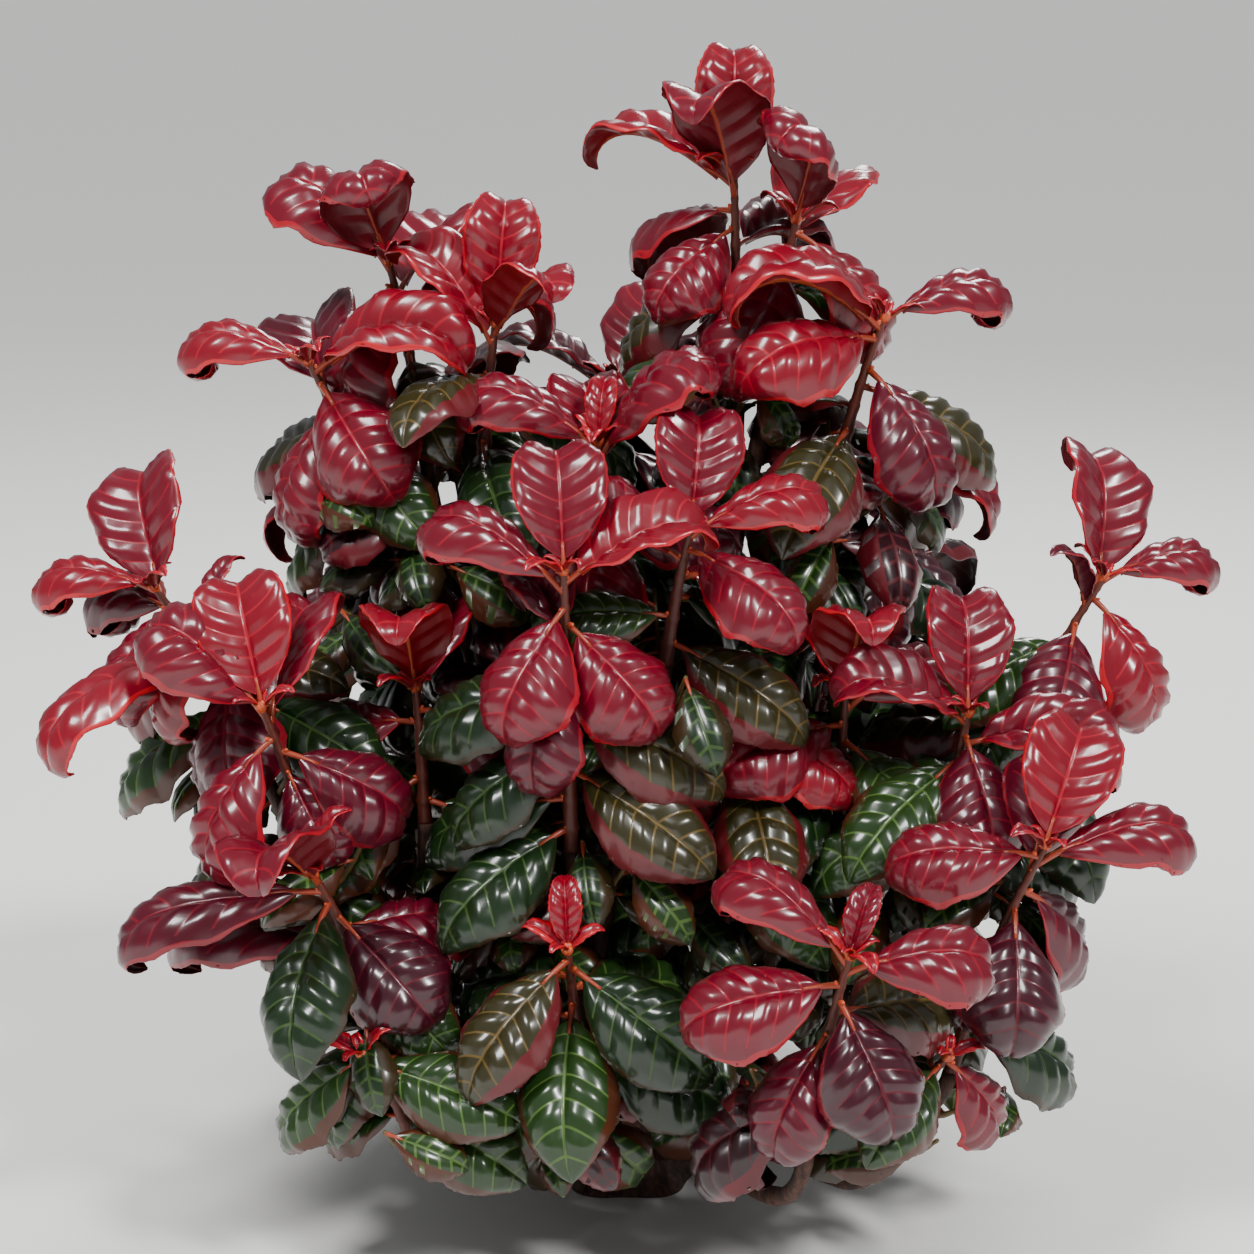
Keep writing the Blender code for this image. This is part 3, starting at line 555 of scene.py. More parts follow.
def leaf_solid(frames, length, form, swell=0.0):
    """Points and triangles of a leaf: a lens-shaped blade between its root and its pointed tip."""
    points = [frames[0][0]]
    for share in blade_stations(form):
        centre, along, upper = frame_at(frames, share)
        across = along.cross(upper)
        half = length * form.width * 0.5 * outline((share - PETIOLE_SHARE) / (1 - PETIOLE_SHARE))
        half = max(half, PETIOLE_HALF_WIDTH) + swell
        thick = LEAF_THICKNESS * 0.5 + swell
        for side in (-1, 1):
            over, rise = section(side, form.fold, form.cup)
            points.append(centre + across * (over * half) + upper * (rise * half))
            points.append(centre + upper * (-side * thick))
    points.append(frames[-1][0])
    faces = []
    for corner in range(4):
        faces.append((0, 1 + corner, 1 + (corner + 1) % 4))
    rings = len(blade_stations(form))
    for ring in range(rings - 1):
        for corner in range(4):
            a, b = 1 + ring * 4 + corner, 1 + ring * 4 + (corner + 1) % 4
            faces += [(a, a + 4, b), (b, a + 4, b + 4)]
    last = len(points) - 1
    for corner in range(4):
        a, b = last - 4 + corner, last - 4 + (corner + 1) % 4
        faces.append((a, last, b))
    return points, faces


def tube_solid(path, radii, sides):
    """Points and triangles of a tapering tube, for testing what a leaf would touch."""
    points, faces = [], []
    for (centre, along), radius in zip(path, radii):
        side = along.orthogonal().normalized()
        for corner in range(sides):
            points.append(centre + Quaternion(along, math.tau * corner / sides) @ side * radius)
    for ring in range(len(path) - 1):
        for corner in range(sides):
            a, b = ring * sides + corner, ring * sides + (corner + 1) % sides
            faces += [(a, b, a + sides), (b, b + sides, a + sides)]
    return points, faces


# %% Room for a leaf
class Body:
    """A solid's box and search tree, so that a leaf can tell whether it would touch it."""

    def __init__(self, points, faces):
        self.low = [min(point[axis] for point in points) for axis in range(3)]
        self.high = [max(point[axis] for point in points) for axis in range(3)]
        self.tree = BVHTree.FromPolygons(points, faces)

    def touches(self, other):
        for axis in range(3):
            if self.low[axis] > other.high[axis] or other.low[axis] > self.high[axis]:
                return False
        return bool(self.tree.overlap(other.tree))


def within_reach(points):
    """Whether a leaf stays inside the shrub's width, depth and height and above its skirt."""
    for point in points:
        skirt = LOWEST_LEAF + SKIRT_RISE * max(0.0, math.hypot(point.x, point.y) - SKIRT_START)
        if abs(point.x) > PLANT_WIDTH / 2 or abs(point.y) > PLANT_DEPTH / 2:
            return False
        if not skirt <= point.z <= PLANT_HEIGHT:
            return False
    return True


def leaf_frames(stem, depth, turn, lift, length, form):
    """Frames of a leaf that leaves its stem at a depth below the tip, at a heading and a lift."""
    root, axis = on_path(stem, depth)
    axis = (axis + UP * UPRIGHTNESS).normalized()
    outward = heading(turn, 90)
    outward = (outward - axis * outward.dot(axis)).normalized()
    raised = math.radians(min(lift, 88))
    along = outward * math.cos(raised) + axis * math.sin(raised)
    upper = axis * math.cos(raised) - outward * math.sin(raised)
    light = Vector((root.x, root.y, 0.0)).normalized() * LIGHT_OUTWARD + SUN
    light -= along * light.dot(along)
    roll = math.degrees(math.atan2(along.dot(upper.cross(light)), upper.dot(light))) * form.light
    roll = max(-MOST_ROLL, min(MOST_ROLL, roll))
    upper = Quaternion(along, math.radians(roll)) @ upper
    return frames_along(root, along, upper, length, form)


def limb_bodies(boughs, stems):
    """Bodies of each shoot's bough and stem, grown by the clearance that leaves keep to them."""
    limbs = {}
    for name, stem in stems.items():
        path, base_radius = boughs[name]
        pair = []
        ends = ((path, base_radius, BOUGH_TIP_RADIUS), (stem, BOUGH_TIP_RADIUS, STEM_TIP_RADIUS))
        for line, start, end in ends:
            radii = [radius + LEAF_CLEARANCE for radius in taper(start, end, len(line))]
            pair.append(Body(*tube_solid(line, radii, TEST_SIDES)))
        limbs[name] = pair
    return limbs


def has_room(name, whole, blade, foot, limbs, blades):
    """Whether a leaf meets only its own stem, and its blade not even that."""
    own_bough, own_stem = limbs[name]
    if whole.touches(foot) or whole.touches(own_bough) or blade.touches(own_stem):
        return False
    if any(blade.touches(own_blade) for own_blade, _ in blades[name]):
        return False
    for other in limbs:
        leaves = (leaf for _, leaf in blades[other])
        if other != name and any(whole.touches(body) for body in (*limbs[other], *leaves)):
            return False
    return True


def place_leaf(shoot, stem, number, words, foot, limbs, blades):
    """The first way of holding a leaf that has room, or nothing where there is none."""
    form_name, turn = words[number]
    form = FORMS[form_name]
    depth = node_depths(len(words))[number]
    youth = YOUNG_SIZES[number] if number < len(YOUNG_SIZES) else 1.0
    for more_turn, more_lift, share in TRIES:
        length = LEAF_LENGTH * form.length * shoot.size * youth * share
        frames = leaf_frames(stem, depth, turn + more_turn, form.lift + more_lift, length, form)
        points, faces = leaf_solid(frames, length, form, LEAF_CLEARANCE)
        if not within_reach(points[5:]):
            continue
        whole = Body(points, faces)
        blade = Body(points, [face for face in faces if min(face) > 0])
        if has_room(shoot.name, whole, blade, foot, limbs, blades):
            blades[shoot.name].append((blade, whole))
            return frames, length, form
    return None


# %% Grow the leaves of the frame's masses
stems = {shoot.name: stem_path(shoot) for shoot in SHOOTS}
limbs = limb_bodies(boughs, stems)
foot_line = [(UP * 0.0, UP), (UP * FOOT_HEIGHT, UP)]
foot_body = Body(*tube_solid(foot_line, [FOOT_FLARE_RADIUS, FOOT_RADIUS], FOOT_TEST_SIDES))
blades = {shoot.name: [] for shoot in SHOOTS}
Leaf = namedtuple("Leaf", "shoot number frames length form kind")
leaves = []
# The youngest leaves of all shoots find their room first, then the next ones down
for number in range(max(len(leaf_words(shoot)) for shoot in SHOOTS)):
    for shoot in SHOOTS:
        words = leaf_words(shoot)
        if number < len(words):
            found = place_leaf(shoot, stems[shoot.name], number, words, foot_body, limbs, blades)
            if found:
                leaves.append(Leaf(shoot, number, *found, words[number][0]))
print(len(leaves), "leaves on the shoots")

# %% [markdown]
# ## Finer twigs inside the crown
#
# A real doghobble is leafy far down its boughs. Short side twigs with smaller leaves leave each bough at a
# few nodes, again by the golden angle. Scattering leaves at random inside the crown would be quicker, but
# they would float and cross each other. These keep the same rule of room, make the inside of the crown dark
# and full, as it is in the photograph, and stay inside the crown's reach.

# %% Side twigs: sizes
TWIG_SHARES = (0.34, 0.50, 0.66, 0.82, 0.95)
TWIG_LENGTH = 0.040
TWIG_LEAVES = 5
TWIG_LEAN = 58
TWIG_RISE = 0.22
TWIG_RADII = (0.0013, 0.0007)
TWIG_POINTS = 4
TWIG_TEST_SIDES = 5
TWIG_FIRST_NODE = 0.001
TWIG_INTERNODE = 0.0062
TWIG_LEAF_SIZE = 0.74
TWIG_YOUNG_SIZES = (0.8, 0.9)
TWIG_FORMS = ("green", "flat", "green", "droop", "green")
TWIG_LEAF_AGE = 6
FEWEST_TWIG_LEAVES = 2
LOWEST_TWIG = 0.045

# What a twig tries until it has room, as more heading and more lean, and what its leaf tries, as more
# heading, more lift and a share of its size
TWIG_TRIES = [(0, 0), (35, 0), (-35, 0), (70, 10), (-70, 10), (110, 0), (-110, 0)]
LEAF_TRIES = [(0, 0, 1.0), (30, 0, 0.9), (-30, 0, 0.9), (0, 25, 0.8), (60, 10, 0.75), (-60, 10, 0.75)]

# How far below the twig's tip each leaf stands
TWIG_DEPTHS = [TWIG_FIRST_NODE + number * TWIG_INTERNODE for number in range(TWIG_LEAVES)]


# %% Side twigs: growing
def twig_path(root, along):
    """A short twig that rises a little toward its tip."""
    path, point = [], root.copy()
    for _ in range(TWIG_POINTS):
        path.append((point.copy(), along.copy()))
        along = (along + UP * TWIG_RISE).normalized()
        point = point + along * (TWIG_LENGTH / (TWIG_POINTS - 1))
    return path


def grow_twig_leaf(twig, body, turn, number, own_blades):
    """The first way of holding a twig's leaf that has room, with its blade's body, or nothing."""
    form = FORMS[TWIG_FORMS[number]]
    youth = TWIG_YOUNG_SIZES[number] if number < len(TWIG_YOUNG_SIZES) else 1.0
    for more_turn, more_lift, share in LEAF_TRIES:
        length = LEAF_LENGTH * form.length * TWIG_LEAF_SIZE * share * youth
        frames = leaf_frames(twig, TWIG_DEPTHS[number], turn + number * GOLDEN_ANGLE + more_turn,
                             form.lift + more_lift, length, form)
        points, faces = leaf_solid(frames, length, form, LEAF_CLEARANCE)
        if not within_reach(points[5:]):
            continue
        whole = Body(points, faces)
        blade = Body(points, [face for face in faces if min(face) > 0])
        if any(blade.touches(own) for own in (body, *own_blades)):
            continue
        if not any(whole.touches(other) for other in grown_bodies):
            return (frames, length, form), blade
    return None


def grow_twig(shoot, root, bough_along, turn):
    """Grows a side twig from a bough where it and at least two leaves have room."""
    own_bough = limbs[shoot.name][0]
    for more_turn, more_lean in TWIG_TRIES:
        out = heading(turn + more_turn, 90)
        out = (out - bough_along * out.dot(bough_along)).normalized()
        lean = math.radians(TWIG_LEAN + more_lean)
        twig = twig_path(root, (out * math.sin(lean) + bough_along * math.cos(lean)).normalized())
        if not within_reach([place for place, _ in twig]):
            continue
        radii = [radius + LEAF_CLEARANCE for radius in taper(*TWIG_RADII, TWIG_POINTS)]
        body = Body(*tube_solid(twig, radii, TWIG_TEST_SIDES))
        if any(body.touches(other) for other in grown_bodies if other is not own_bough):
            continue
        grown, own_blades = [], []
        for number in range(TWIG_LEAVES):
            found = grow_twig_leaf(twig, body, turn, number, own_blades)
            if found:
                own_blades.append(found[1])
                grown.append(Leaf(shoot, number + TWIG_LEAF_AGE, *found[0], "inner"))
        if len(grown) >= FEWEST_TWIG_LEAVES:
            twigs.append((shoot, twig))
            twig_leaves.extend(grown)
            grown_bodies.extend([body, *own_blades])
            return


twigs, twig_leaves = [], []
grown_bodies = [foot_body]
for pair in limbs.values():
    grown_bodies += pair
for row in blades.values():
    grown_bodies += [blade for blade, _ in row]
turn = 0.0
for shoot in SHOOTS:
    path = paths[shoot.name]
    total = path_length(path)
    for share in TWIG_SHARES:
        turn += GOLDEN_ANGLE
        root, bough_along = on_path(path, total * (1 - share))
        if root.z >= LOWEST_TWIG:
            grow_twig(shoot, root, bough_along, turn)
print(len(twigs), "side twigs with", len(twig_leaves), "leaves")

# %% [markdown]
# ## Unfolding leaves
#
# Every growing tip holds a few leaves that have only begun to open. They are a quarter of a full leaf's
# length, stand nearly upright round the bud and are the brightest on the plant. They are so small that they
# need no search for room.

# %% Tiny leaves at the tips
TINY_LENGTHS = (0.010, 0.013, 0.017, 0.021)
TINY_FIRST_TURN = 70
TINY_NODE_STEP = 0.0004
TINY_LIFT = 64
TINY_LIFT_DROP = 6

tiny_leaves = []
for shoot in SHOOTS:
    for number, tiny_length in enumerate(TINY_LENGTHS):
        length = tiny_length * shoot.size
        turn = shoot.first + TINY_FIRST_TURN + number * GOLDEN_ANGLE
        frames = leaf_frames(stems[shoot.name], TINY_NODE_STEP * (number + 1), turn,
                             TINY_LIFT - TINY_LIFT_DROP * number, length, FORMS["bud"])
        tiny_leaves.append(Leaf(shoot, 0, frames, length, FORMS["bud"], "tiny"))
print(len(tiny_leaves), "tiny leaves")

# %% [markdown]
# ## Leaf colours
#
# The youngest leaves are scarlet, then crimson, ruby and burgundy, and the shaded ones inside turn green
# from the midrib outward, which leaves a red rim. A leaf's colour has its place on the plant, so it is dealt
# out leaf by leaf as plain colours: one for the blade, one for the sunken veins, one for the rim, and two
# for the smoother underside and its rib. Painting it with a pattern would lose that place in the exported
# model.
# Low leaves and the leaves of the dark and back shoots are dealt darker reds, which is painted shade.

# %% Leaf skins
# A living leaf is smooth and glossy under a thin clear wax coat that mirrors the sky. Its upper blade is the
# glossiest, its underside the dullest.
WAX_ROUGHNESS = 0.14
LEAF_IOR = 1.45

# The colour of each skin, the finish's slot and how many outer cells are rim on a fine leaf
Tone = namedtuple("Tone", "name blade vein rim under rib slot wide_rim")
TONES = [
    Tone("scarlet", "#7C041C", "#9C0A22", "#B81020", "#760412", "#A8482A", "red_leaf", 1),
    Tone("crimson", "#68041C", "#880820", "#A20C20", "#620414", "#963E26", "red_leaf", 1),
    Tone("ruby", "#50041A", "#70081E", "#881020", "#50041A", "#84361E", "red_leaf", 1),
    Tone("burgundy", "#380616", "#540C1C", "#6E101E", "#3E0414", "#70301C", "red_leaf", 1),
    Tone("maroon", "#280810", "#4A141A", "#5C101A", "#30080E", "#60341C", "red_leaf", 2),
    Tone("bronze", "#2E2A12", "#5C4A22", "#5E141A", "#4C2616", "#7E5E2C", "green_leaf", 3),
    Tone("leaf_green", "#1E3612", "#466028", "#4A2412", "#3E4A20", "#7E7E3C", "green_leaf", 2),
    Tone("deep_green", "#12260E", "#32481E", "#302410", "#2C3A1E", "#626830", "green_leaf", 1),
]

# The tone's colour that a skin takes, its material's name, its roughness and how much wax it has
Skin = namedtuple("Skin", "part material roughness coat")
SKINS = [
    Skin("blade", "waxy_leaf", 0.30, 0.55),
    Skin("vein", "leaf_vein", 0.38, 0.30),
    Skin("rim", "leaf_rim", 0.34, 0.40),
    Skin("under", "leaf_underside", 0.42, 0.15),
    Skin("rib", "leaf_rib", 0.42, 0.10),
]
BLADE, VEIN, RIM, UNDER, RIB = range(len(SKINS))


def waxy_skin(name, colour, roughness, coat):
    """A waxy plant skin in one plain colour."""
    material = bpy.data.materials.new(name)
    material.use_nodes = True
    shader = material.node_tree.nodes["Principled BSDF"]
    shader.inputs["Base Color"].default_value = linear(colour)
    shader.inputs["Roughness"].default_value = roughness
    shader.inputs["IOR"].default_value = LEAF_IOR
    shader.inputs["Coat Weight"].default_value = coat
    shader.inputs["Coat Roughness"].default_value = WAX_ROUGHNESS
    return material


def leaf_skins(tone):
    """The five skins of a leaf in its tone, in the order of SKINS."""
    return [waxy_skin(f"{skin.material}_{tone.name}", getattr(tone, skin.part), skin.roughness, skin.coat)
            for skin in SKINS]


# %% Deal out the tones
# Tones of leaves whose age says nothing, each with the luck below which it is dealt
LUCKY_TONES = {
    "tiny": (("scarlet", 0.70), ("crimson", 1.0)),
    "inner": (("deep_green", 0.50), ("leaf_green", 0.85), ("maroon", 1.0)),
    "green": (("bronze", 0.22), ("leaf_green", 0.66), ("deep_green", 1.0)),
}
REDS = ("scarlet", "crimson", "ruby", "burgundy", "maroon")
# Reds darken with age and luck, and with painted shade: the lower a leaf sits below LIT_HEIGHT, and on the
# dark and back shoots
LIT_HEIGHT = 0.22
LOW_FOR_BRONZE = 0.5
AGE_STEP = 0.34
LUCK_STEP = 1.3
LOW_PAINTED_SHADE_STEP = 1.1
PAINTED_SHADE_STEP = 1.2

dealer = np.random.default_rng(SEED)


def tone_name(leaf):
    """The tone of a leaf from its age, form and luck, and painted shade by how deep it sits in the crown."""
    luck = dealer.random()
    middle = leaf.frames[len(leaf.frames) // 2][0]
    low = max(0.0, 1.0 - middle.z / LIT_HEIGHT)
    for name, limit in LUCKY_TONES.get(leaf.kind, ()):
        if luck < limit and (name != "bronze" or low < LOW_FOR_BRONZE):
            return name
    # Painted shade: the shoots named dark and back, and leaves low down, step to darker reds
    shaded = "dark" in leaf.shoot.name or "back" in leaf.shoot.name
    step = leaf.number * AGE_STEP + luck * LUCK_STEP + low * LOW_PAINTED_SHADE_STEP + (PAINTED_SHADE_STEP if shaded else 0.0)
    return REDS[min(len(REDS) - 1, int(step))]


all_leaves = leaves + twig_leaves + tiny_leaves
dealt = [tone_name(leaf) for leaf in all_leaves]
print("leaves of each tone:", {tone.name: dealt.count(tone.name) for tone in TONES})

# %% [markdown]
# ## The shape of one leaf
#
# The blade is a grid whose rows follow the side veins, which sweep forward from the midrib. Between two
# veins the blade puckers up, and at the midrib and along each vein it is drawn down. A bump map could draw
# the puckers, but it would leave the outline smooth and is lost on the exported model's plain colours, so
# they are real relief. A narrow strip of cells lies along each vein and takes the vein's colour, and the
# outer row of cells is the rim, with small teeth. The underside repeats the grid, a leaf's thickness below,
# with its midrib standing proud. Leaves inside the crown and at the tips have a plainer grid.

# %% Leaf grid
VEIN_PAIRS = 7
FINE_ROWS = (0.05, 0.34, 0.66, 0.95)
FINE_COLUMNS = (0.035, 0.15, 0.28, 0.42, 0.56, 0.70, 0.82, 0.94, 1.0)
PLAIN_ROWS = (0.12, 0.88)
PLAIN_COLUMNS = (0.06, 0.52, 1.0)
VEIN_SWEEP = 0.17
VEIN_ROOTS_BACK = 0.35
SWEEP_FADE = 0.9
SWEEP_POWER = 1.3
VEINS_END = 0.86

Grid = namedtuple("Grid", "q v q2 faces vein_cells rib_cells")


def edge_faces(cell):
    """The narrow faces that join the upper and lower grids round the rim."""
    below = cell.size
    right, left = cell[:, -1], cell[:, 0]
    first, last = cell[0], cell[-1]
    return np.concatenate([
        np.stack([right[:-1], right[:-1] + below, right[1:] + below, right[1:]], -1),
        np.stack([left[:-1], left[1:], left[1:] + below, left[:-1] + below], -1),
        np.stack([first[:-1], first[:-1] + below, first[1:] + below, first[1:]], -1),
        np.stack([last[:-1], last[1:], last[1:] + below, last[:-1] + below], -1),
    ])


def leaf_grid(row_steps, column_steps):
    """Row and column places of a blade, all its faces, and which cells are veins or midrib."""
    rows = [0.0]
    for pair in range(VEIN_PAIRS):
        rows += [(pair + step) / VEIN_PAIRS for step in row_steps]
    rows.append(1.0)
    side = np.array(column_steps)
    columns = np.concatenate([-side[::-1], [0.0], side])
    q, v = np.meshgrid(np.array(rows), columns, indexing="ij")
    sweep = VEIN_SWEEP * np.sin(np.pi * q) ** SWEEP_FADE
    q2 = np.clip(q + sweep * np.abs(v) ** SWEEP_POWER - sweep * VEIN_ROOTS_BACK, 0.0, 1.0)
    cell = np.arange(q.size).reshape(q.shape)
    top = np.stack([cell[:-1, :-1], cell[:-1, 1:], cell[1:, 1:], cell[1:, :-1]], -1)
    bottom = top[..., ::-1] + q.size
    faces = np.concatenate([top.reshape(-1, 4), bottom.reshape(-1, 4), edge_faces(cell)])
    row_number = np.arange(len(rows) - 1)[:, None]
    middle = (np.abs(columns[:-1]) + np.abs(columns[1:]))[None, :] / 2
    vein = (row_number % len(row_steps) == 0) & (row_number > 0) & (middle < VEINS_END)
    rib = np.broadcast_to(middle < column_steps[0], vein.shape)
    return Grid(q, v, q2, faces, vein, rib)


FINE = leaf_grid(FINE_ROWS, FINE_COLUMNS)
PLAIN = leaf_grid(PLAIN_ROWS, PLAIN_COLUMNS)
print("faces of a leaf:", len(FINE.faces), "fine,", len(PLAIN.faces), "plain")


def leaf_skin_numbers(grid, wide_rim):
    """The number in SKINS of each face."""
    upper = np.where(grid.vein_cells | grid.rib_cells, VEIN, BLADE)
    rim = wide_rim if grid is FINE else 1
    upper[:, :rim] = upper[:, -rim:] = RIM
    lower = np.where(grid.rib_cells, RIB, UNDER)
    edge = np.full(len(grid.faces) - upper.size - lower.size, RIM)
    return np.concatenate([upper.ravel(), lower.ravel(), edge])


# %% Relief of the blade
# Heights and depths are in metres, for a leaf of LEAF_LENGTH. The rest are shares, powers, counts and turns
PUCKER_HEIGHT = 0.0026
PUCKER_LEAST = 0.8
PUCKER_SPREAD = 0.4
PUCKER_CELLS = 2.6
PUCKER_FLOOR = 0.55
PUCKER_CREST = 0.45
PUCKER_EDGE = 0.8
PUCKER_DRIFT = 0.3
PUCKER_DRIFT_STEP = 2.4
PUCKER_DRIFT_CHANCE = 9.0
PUCKER_REACH = 0.7
MIDRIB_DEPTH = 0.0009
MIDRIB_SPREAD = 0.09
WAVE_HEIGHT = 0.0016
WAVES = 3.3
MARGIN_ROLL = 0.30
REFERENCE_HALF = 0.27


def relief(leaf, grid, half, chance):
    """How far each point of the upper side lies above its smooth blade."""
    away = np.abs(grid.v)
    fullness = (half / (leaf.length * REFERENCE_HALF)).clip(0, 1)
    size = leaf.length / LEAF_LENGTH
    band = np.abs(np.sin(np.pi * grid.q * VEIN_PAIRS)) ** PUCKER_EDGE
    across_band = np.sin(np.pi * away ** PUCKER_EDGE).clip(0) ** PUCKER_REACH
    pair = np.floor(grid.q * VEIN_PAIRS)
    wander = np.sin(PUCKER_DRIFT_STEP * pair + PUCKER_DRIFT_CHANCE * chance[0] + grid.v)
    drift = 0.5 * (pair % 2) + PUCKER_DRIFT * wander
    cells = np.abs(np.sin(np.pi * (PUCKER_CELLS * away + drift))) ** PUCKER_EDGE
    height = PUCKER_HEIGHT * size * (PUCKER_LEAST + PUCKER_SPREAD * chance[0])
    lift = height * band * across_band * fullness * (PUCKER_FLOOR + PUCKER_CREST * cells)
    lift -= MIDRIB_DEPTH * size * np.exp(-(grid.v / MIDRIB_SPREAD) ** 2) * (1 - grid.q2)
    wave = np.sin(2 * np.pi * (WAVES * grid.q2 + chance[1]))
    lift += WAVE_HEIGHT * size * wave * away ** 3 * fullness
    lift -= MARGIN_ROLL * half * away ** 4 * fullness
    return lift


# %% Leaf points
BLADE_THICKNESS = 0.00045
TOOTH_SIZE = 0.00045
RIB_HEIGHT = 0.0009
RIB_SPREAD = 0.06
RIB_FADE = 0.8
SMALLEST_HALF = 0.0007


def bent(values, place):
    """Values of the frames down a midrib, at the given places between them."""
    number = np.clip(place.astype(int), 0, len(values) - 2)
    part = (place - number)[..., None]
    return values[number] * (1 - part) + values[number + 1] * part


def leaf_points(leaf, grid, chance):
    """Upper and lower points of a leaf's blade on its bent midrib."""
    form = leaf.form
    centres, alongs, uppers = (np.array([frame[kind] for frame in leaf.frames]) for kind in range(3))
    place = (PETIOLE_SHARE + (1 - PETIOLE_SHARE) * grid.q2) * MIDRIB_STEPS
    centre, upper, across = (bent(values, place) for values in (centres, uppers, np.cross(alongs, uppers)))
    half = np.maximum(leaf.length * form.width * 0.5 * outline(grid.q2), SMALLEST_HALF)
    low, high = math.radians(form.fold), math.radians(form.cup)
    change = high - low
    angle = low + change * np.abs(grid.v)
    over = np.sign(grid.v) * (np.sin(angle) - math.sin(low)) / change
    rise = (math.cos(low) - np.cos(angle)) / change
    teeth = np.zeros_like(half)
    teeth[1:-1:2, 0] = teeth[1:-1:2, -1] = TOOTH_SIZE
    raised = half * rise + relief(leaf, grid, half, chance)
    top = centre + across * ((half + teeth) * over)[..., None] + upper * raised[..., None]
    size = leaf.length / LEAF_LENGTH
    rib = RIB_HEIGHT * size * np.exp(-(grid.v / RIB_SPREAD) ** 2) * (1 - RIB_FADE * grid.q2)
    bottom = top - upper * (BLADE_THICKNESS + rib)[..., None]
    return np.concatenate([top.reshape(-1, 3), bottom.reshape(-1, 3)])


# %% [markdown]
# ## Meshes from arrays
#
# Thousands of small faces are quickest to make from arrays: points and faces of all the leaves of one
# tone go into one mesh, or into several where one would pass MOST_TRIANGLES triangles. Each mesh
# stays well under the size past which its file would be thinned.

# %% Mesh helpers
def mesh_piece(name, points, faces, numbers, materials):
    """One object from arrays of points, four-sided faces and the number of each face's material."""
    mesh = bpy.data.meshes.new(name)
    mesh.vertices.add(len(points))
    mesh.vertices.foreach_set("co", np.asarray(points, np.float32).ravel())
    mesh.loops.add(faces.size)
    mesh.loops.foreach_set("vertex_index", faces.astype(np.int32).ravel())
    mesh.polygons.add(len(faces))
    mesh.polygons.foreach_set("loop_start", np.arange(0, faces.size, 4, dtype=np.int32))
    for material in materials:
        mesh.materials.append(material)
    mesh.polygons.foreach_set("material_index", np.asarray(numbers, np.int32))
    mesh.update(calc_edges=True)
    mesh.validate()
    mesh.shade_smooth()
    piece = bpy.data.objects.new(name, mesh)
    bpy.context.scene.collection.objects.link(piece)
    return piece


def joined(shapes):
    """Joins point and face arrays of several shapes."""
    points, faces, offset = [], [], 0
    for shape_points, shape_faces in shapes:
        points.append(shape_points)
        faces.append(shape_faces + offset)
        offset += len(shape_points)
    return np.concatenate(points), np.concatenate(faces)


def settle(piece, nodes):
    """Rides the piece on the plant's one body, hides the nodes it stands for and prints its triangles."""
    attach(piece, "root")
    if nodes:
        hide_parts(*sorted(nodes))
    triangles = sum(len(face.vertices) - 2 for face in piece.data.polygons)
    print(piece.name, triangles, "triangles")


def plain_piece(name, shapes, material, nodes):
    """One settled object from shapes that share one material."""
    points, faces = joined(shapes)
    settle(mesh_piece(name, points, faces, np.zeros(len(faces)), [material]), nodes)


# %% Leaves of each tone
MOST_TRIANGLES = 190000

chances = dealer.random((len(all_leaves), 2))


def grid_for(leaf):
    """The fine grid for the shoots' leaves, the plain one for leaves inside and at the tips."""
    return PLAIN if leaf.kind in ("inner", "tiny") else FINE


def batches(members):
    """Leaves with their chances, shared out so that no batch passes the most triangles of a piece."""
    found, triangles = [[]], 0
    for leaf, chance in members:
        more = 2 * len(grid_for(leaf).faces)
        if triangles + more > MOST_TRIANGLES:
            found.append([])
            triangles = 0
        triangles += more
        found[-1].append((leaf, chance))
    return found


for tone in TONES:
    skins = leaf_skins(tone)
    members = [(leaf, chance) for leaf, name, chance in zip(all_leaves, dealt, chances) if name == tone.name]
    for count, batch in enumerate(batches(members), 1):
        shells = [(leaf_points(leaf, grid_for(leaf), chance), grid_for(leaf).faces) for leaf, chance in batch]
        numbers = np.concatenate([leaf_skin_numbers(grid_for(leaf), tone.wide_rim) for leaf, _ in batch])
        piece = mesh_piece(f"leaves_{tone.name}_{count}", *joined(shells), numbers, skins)
        settle(piece, {"leaves_" + leaf.shoot.name for leaf, _ in batch})

# %% [markdown]
# ## Limbs with bark
#
# A bough is a tube of rings, with a low collar where each old leaf once stood. A curve with a round bevel
# would give the tube at once, but not its furrows and collars. So the rings are made one by one, and a noise
# that is stretched down the limb presses the furrows into them. The foot is a low lobed stool that flares to
# its flat cut.

# %% Bark and stem finishes
BARK_DARK = "#2A1610"
BARK_LIGHT = "#5E3A2A"
BARK_ROUGHNESS = 0.72
FURROW_MM = 2.2
FURROW_STRETCH = 0.25
FURROW_DEPTH = 0.0006
FURROW_STRENGTH = 0.5
CRACK_EDGES = (0.38, 0.68)


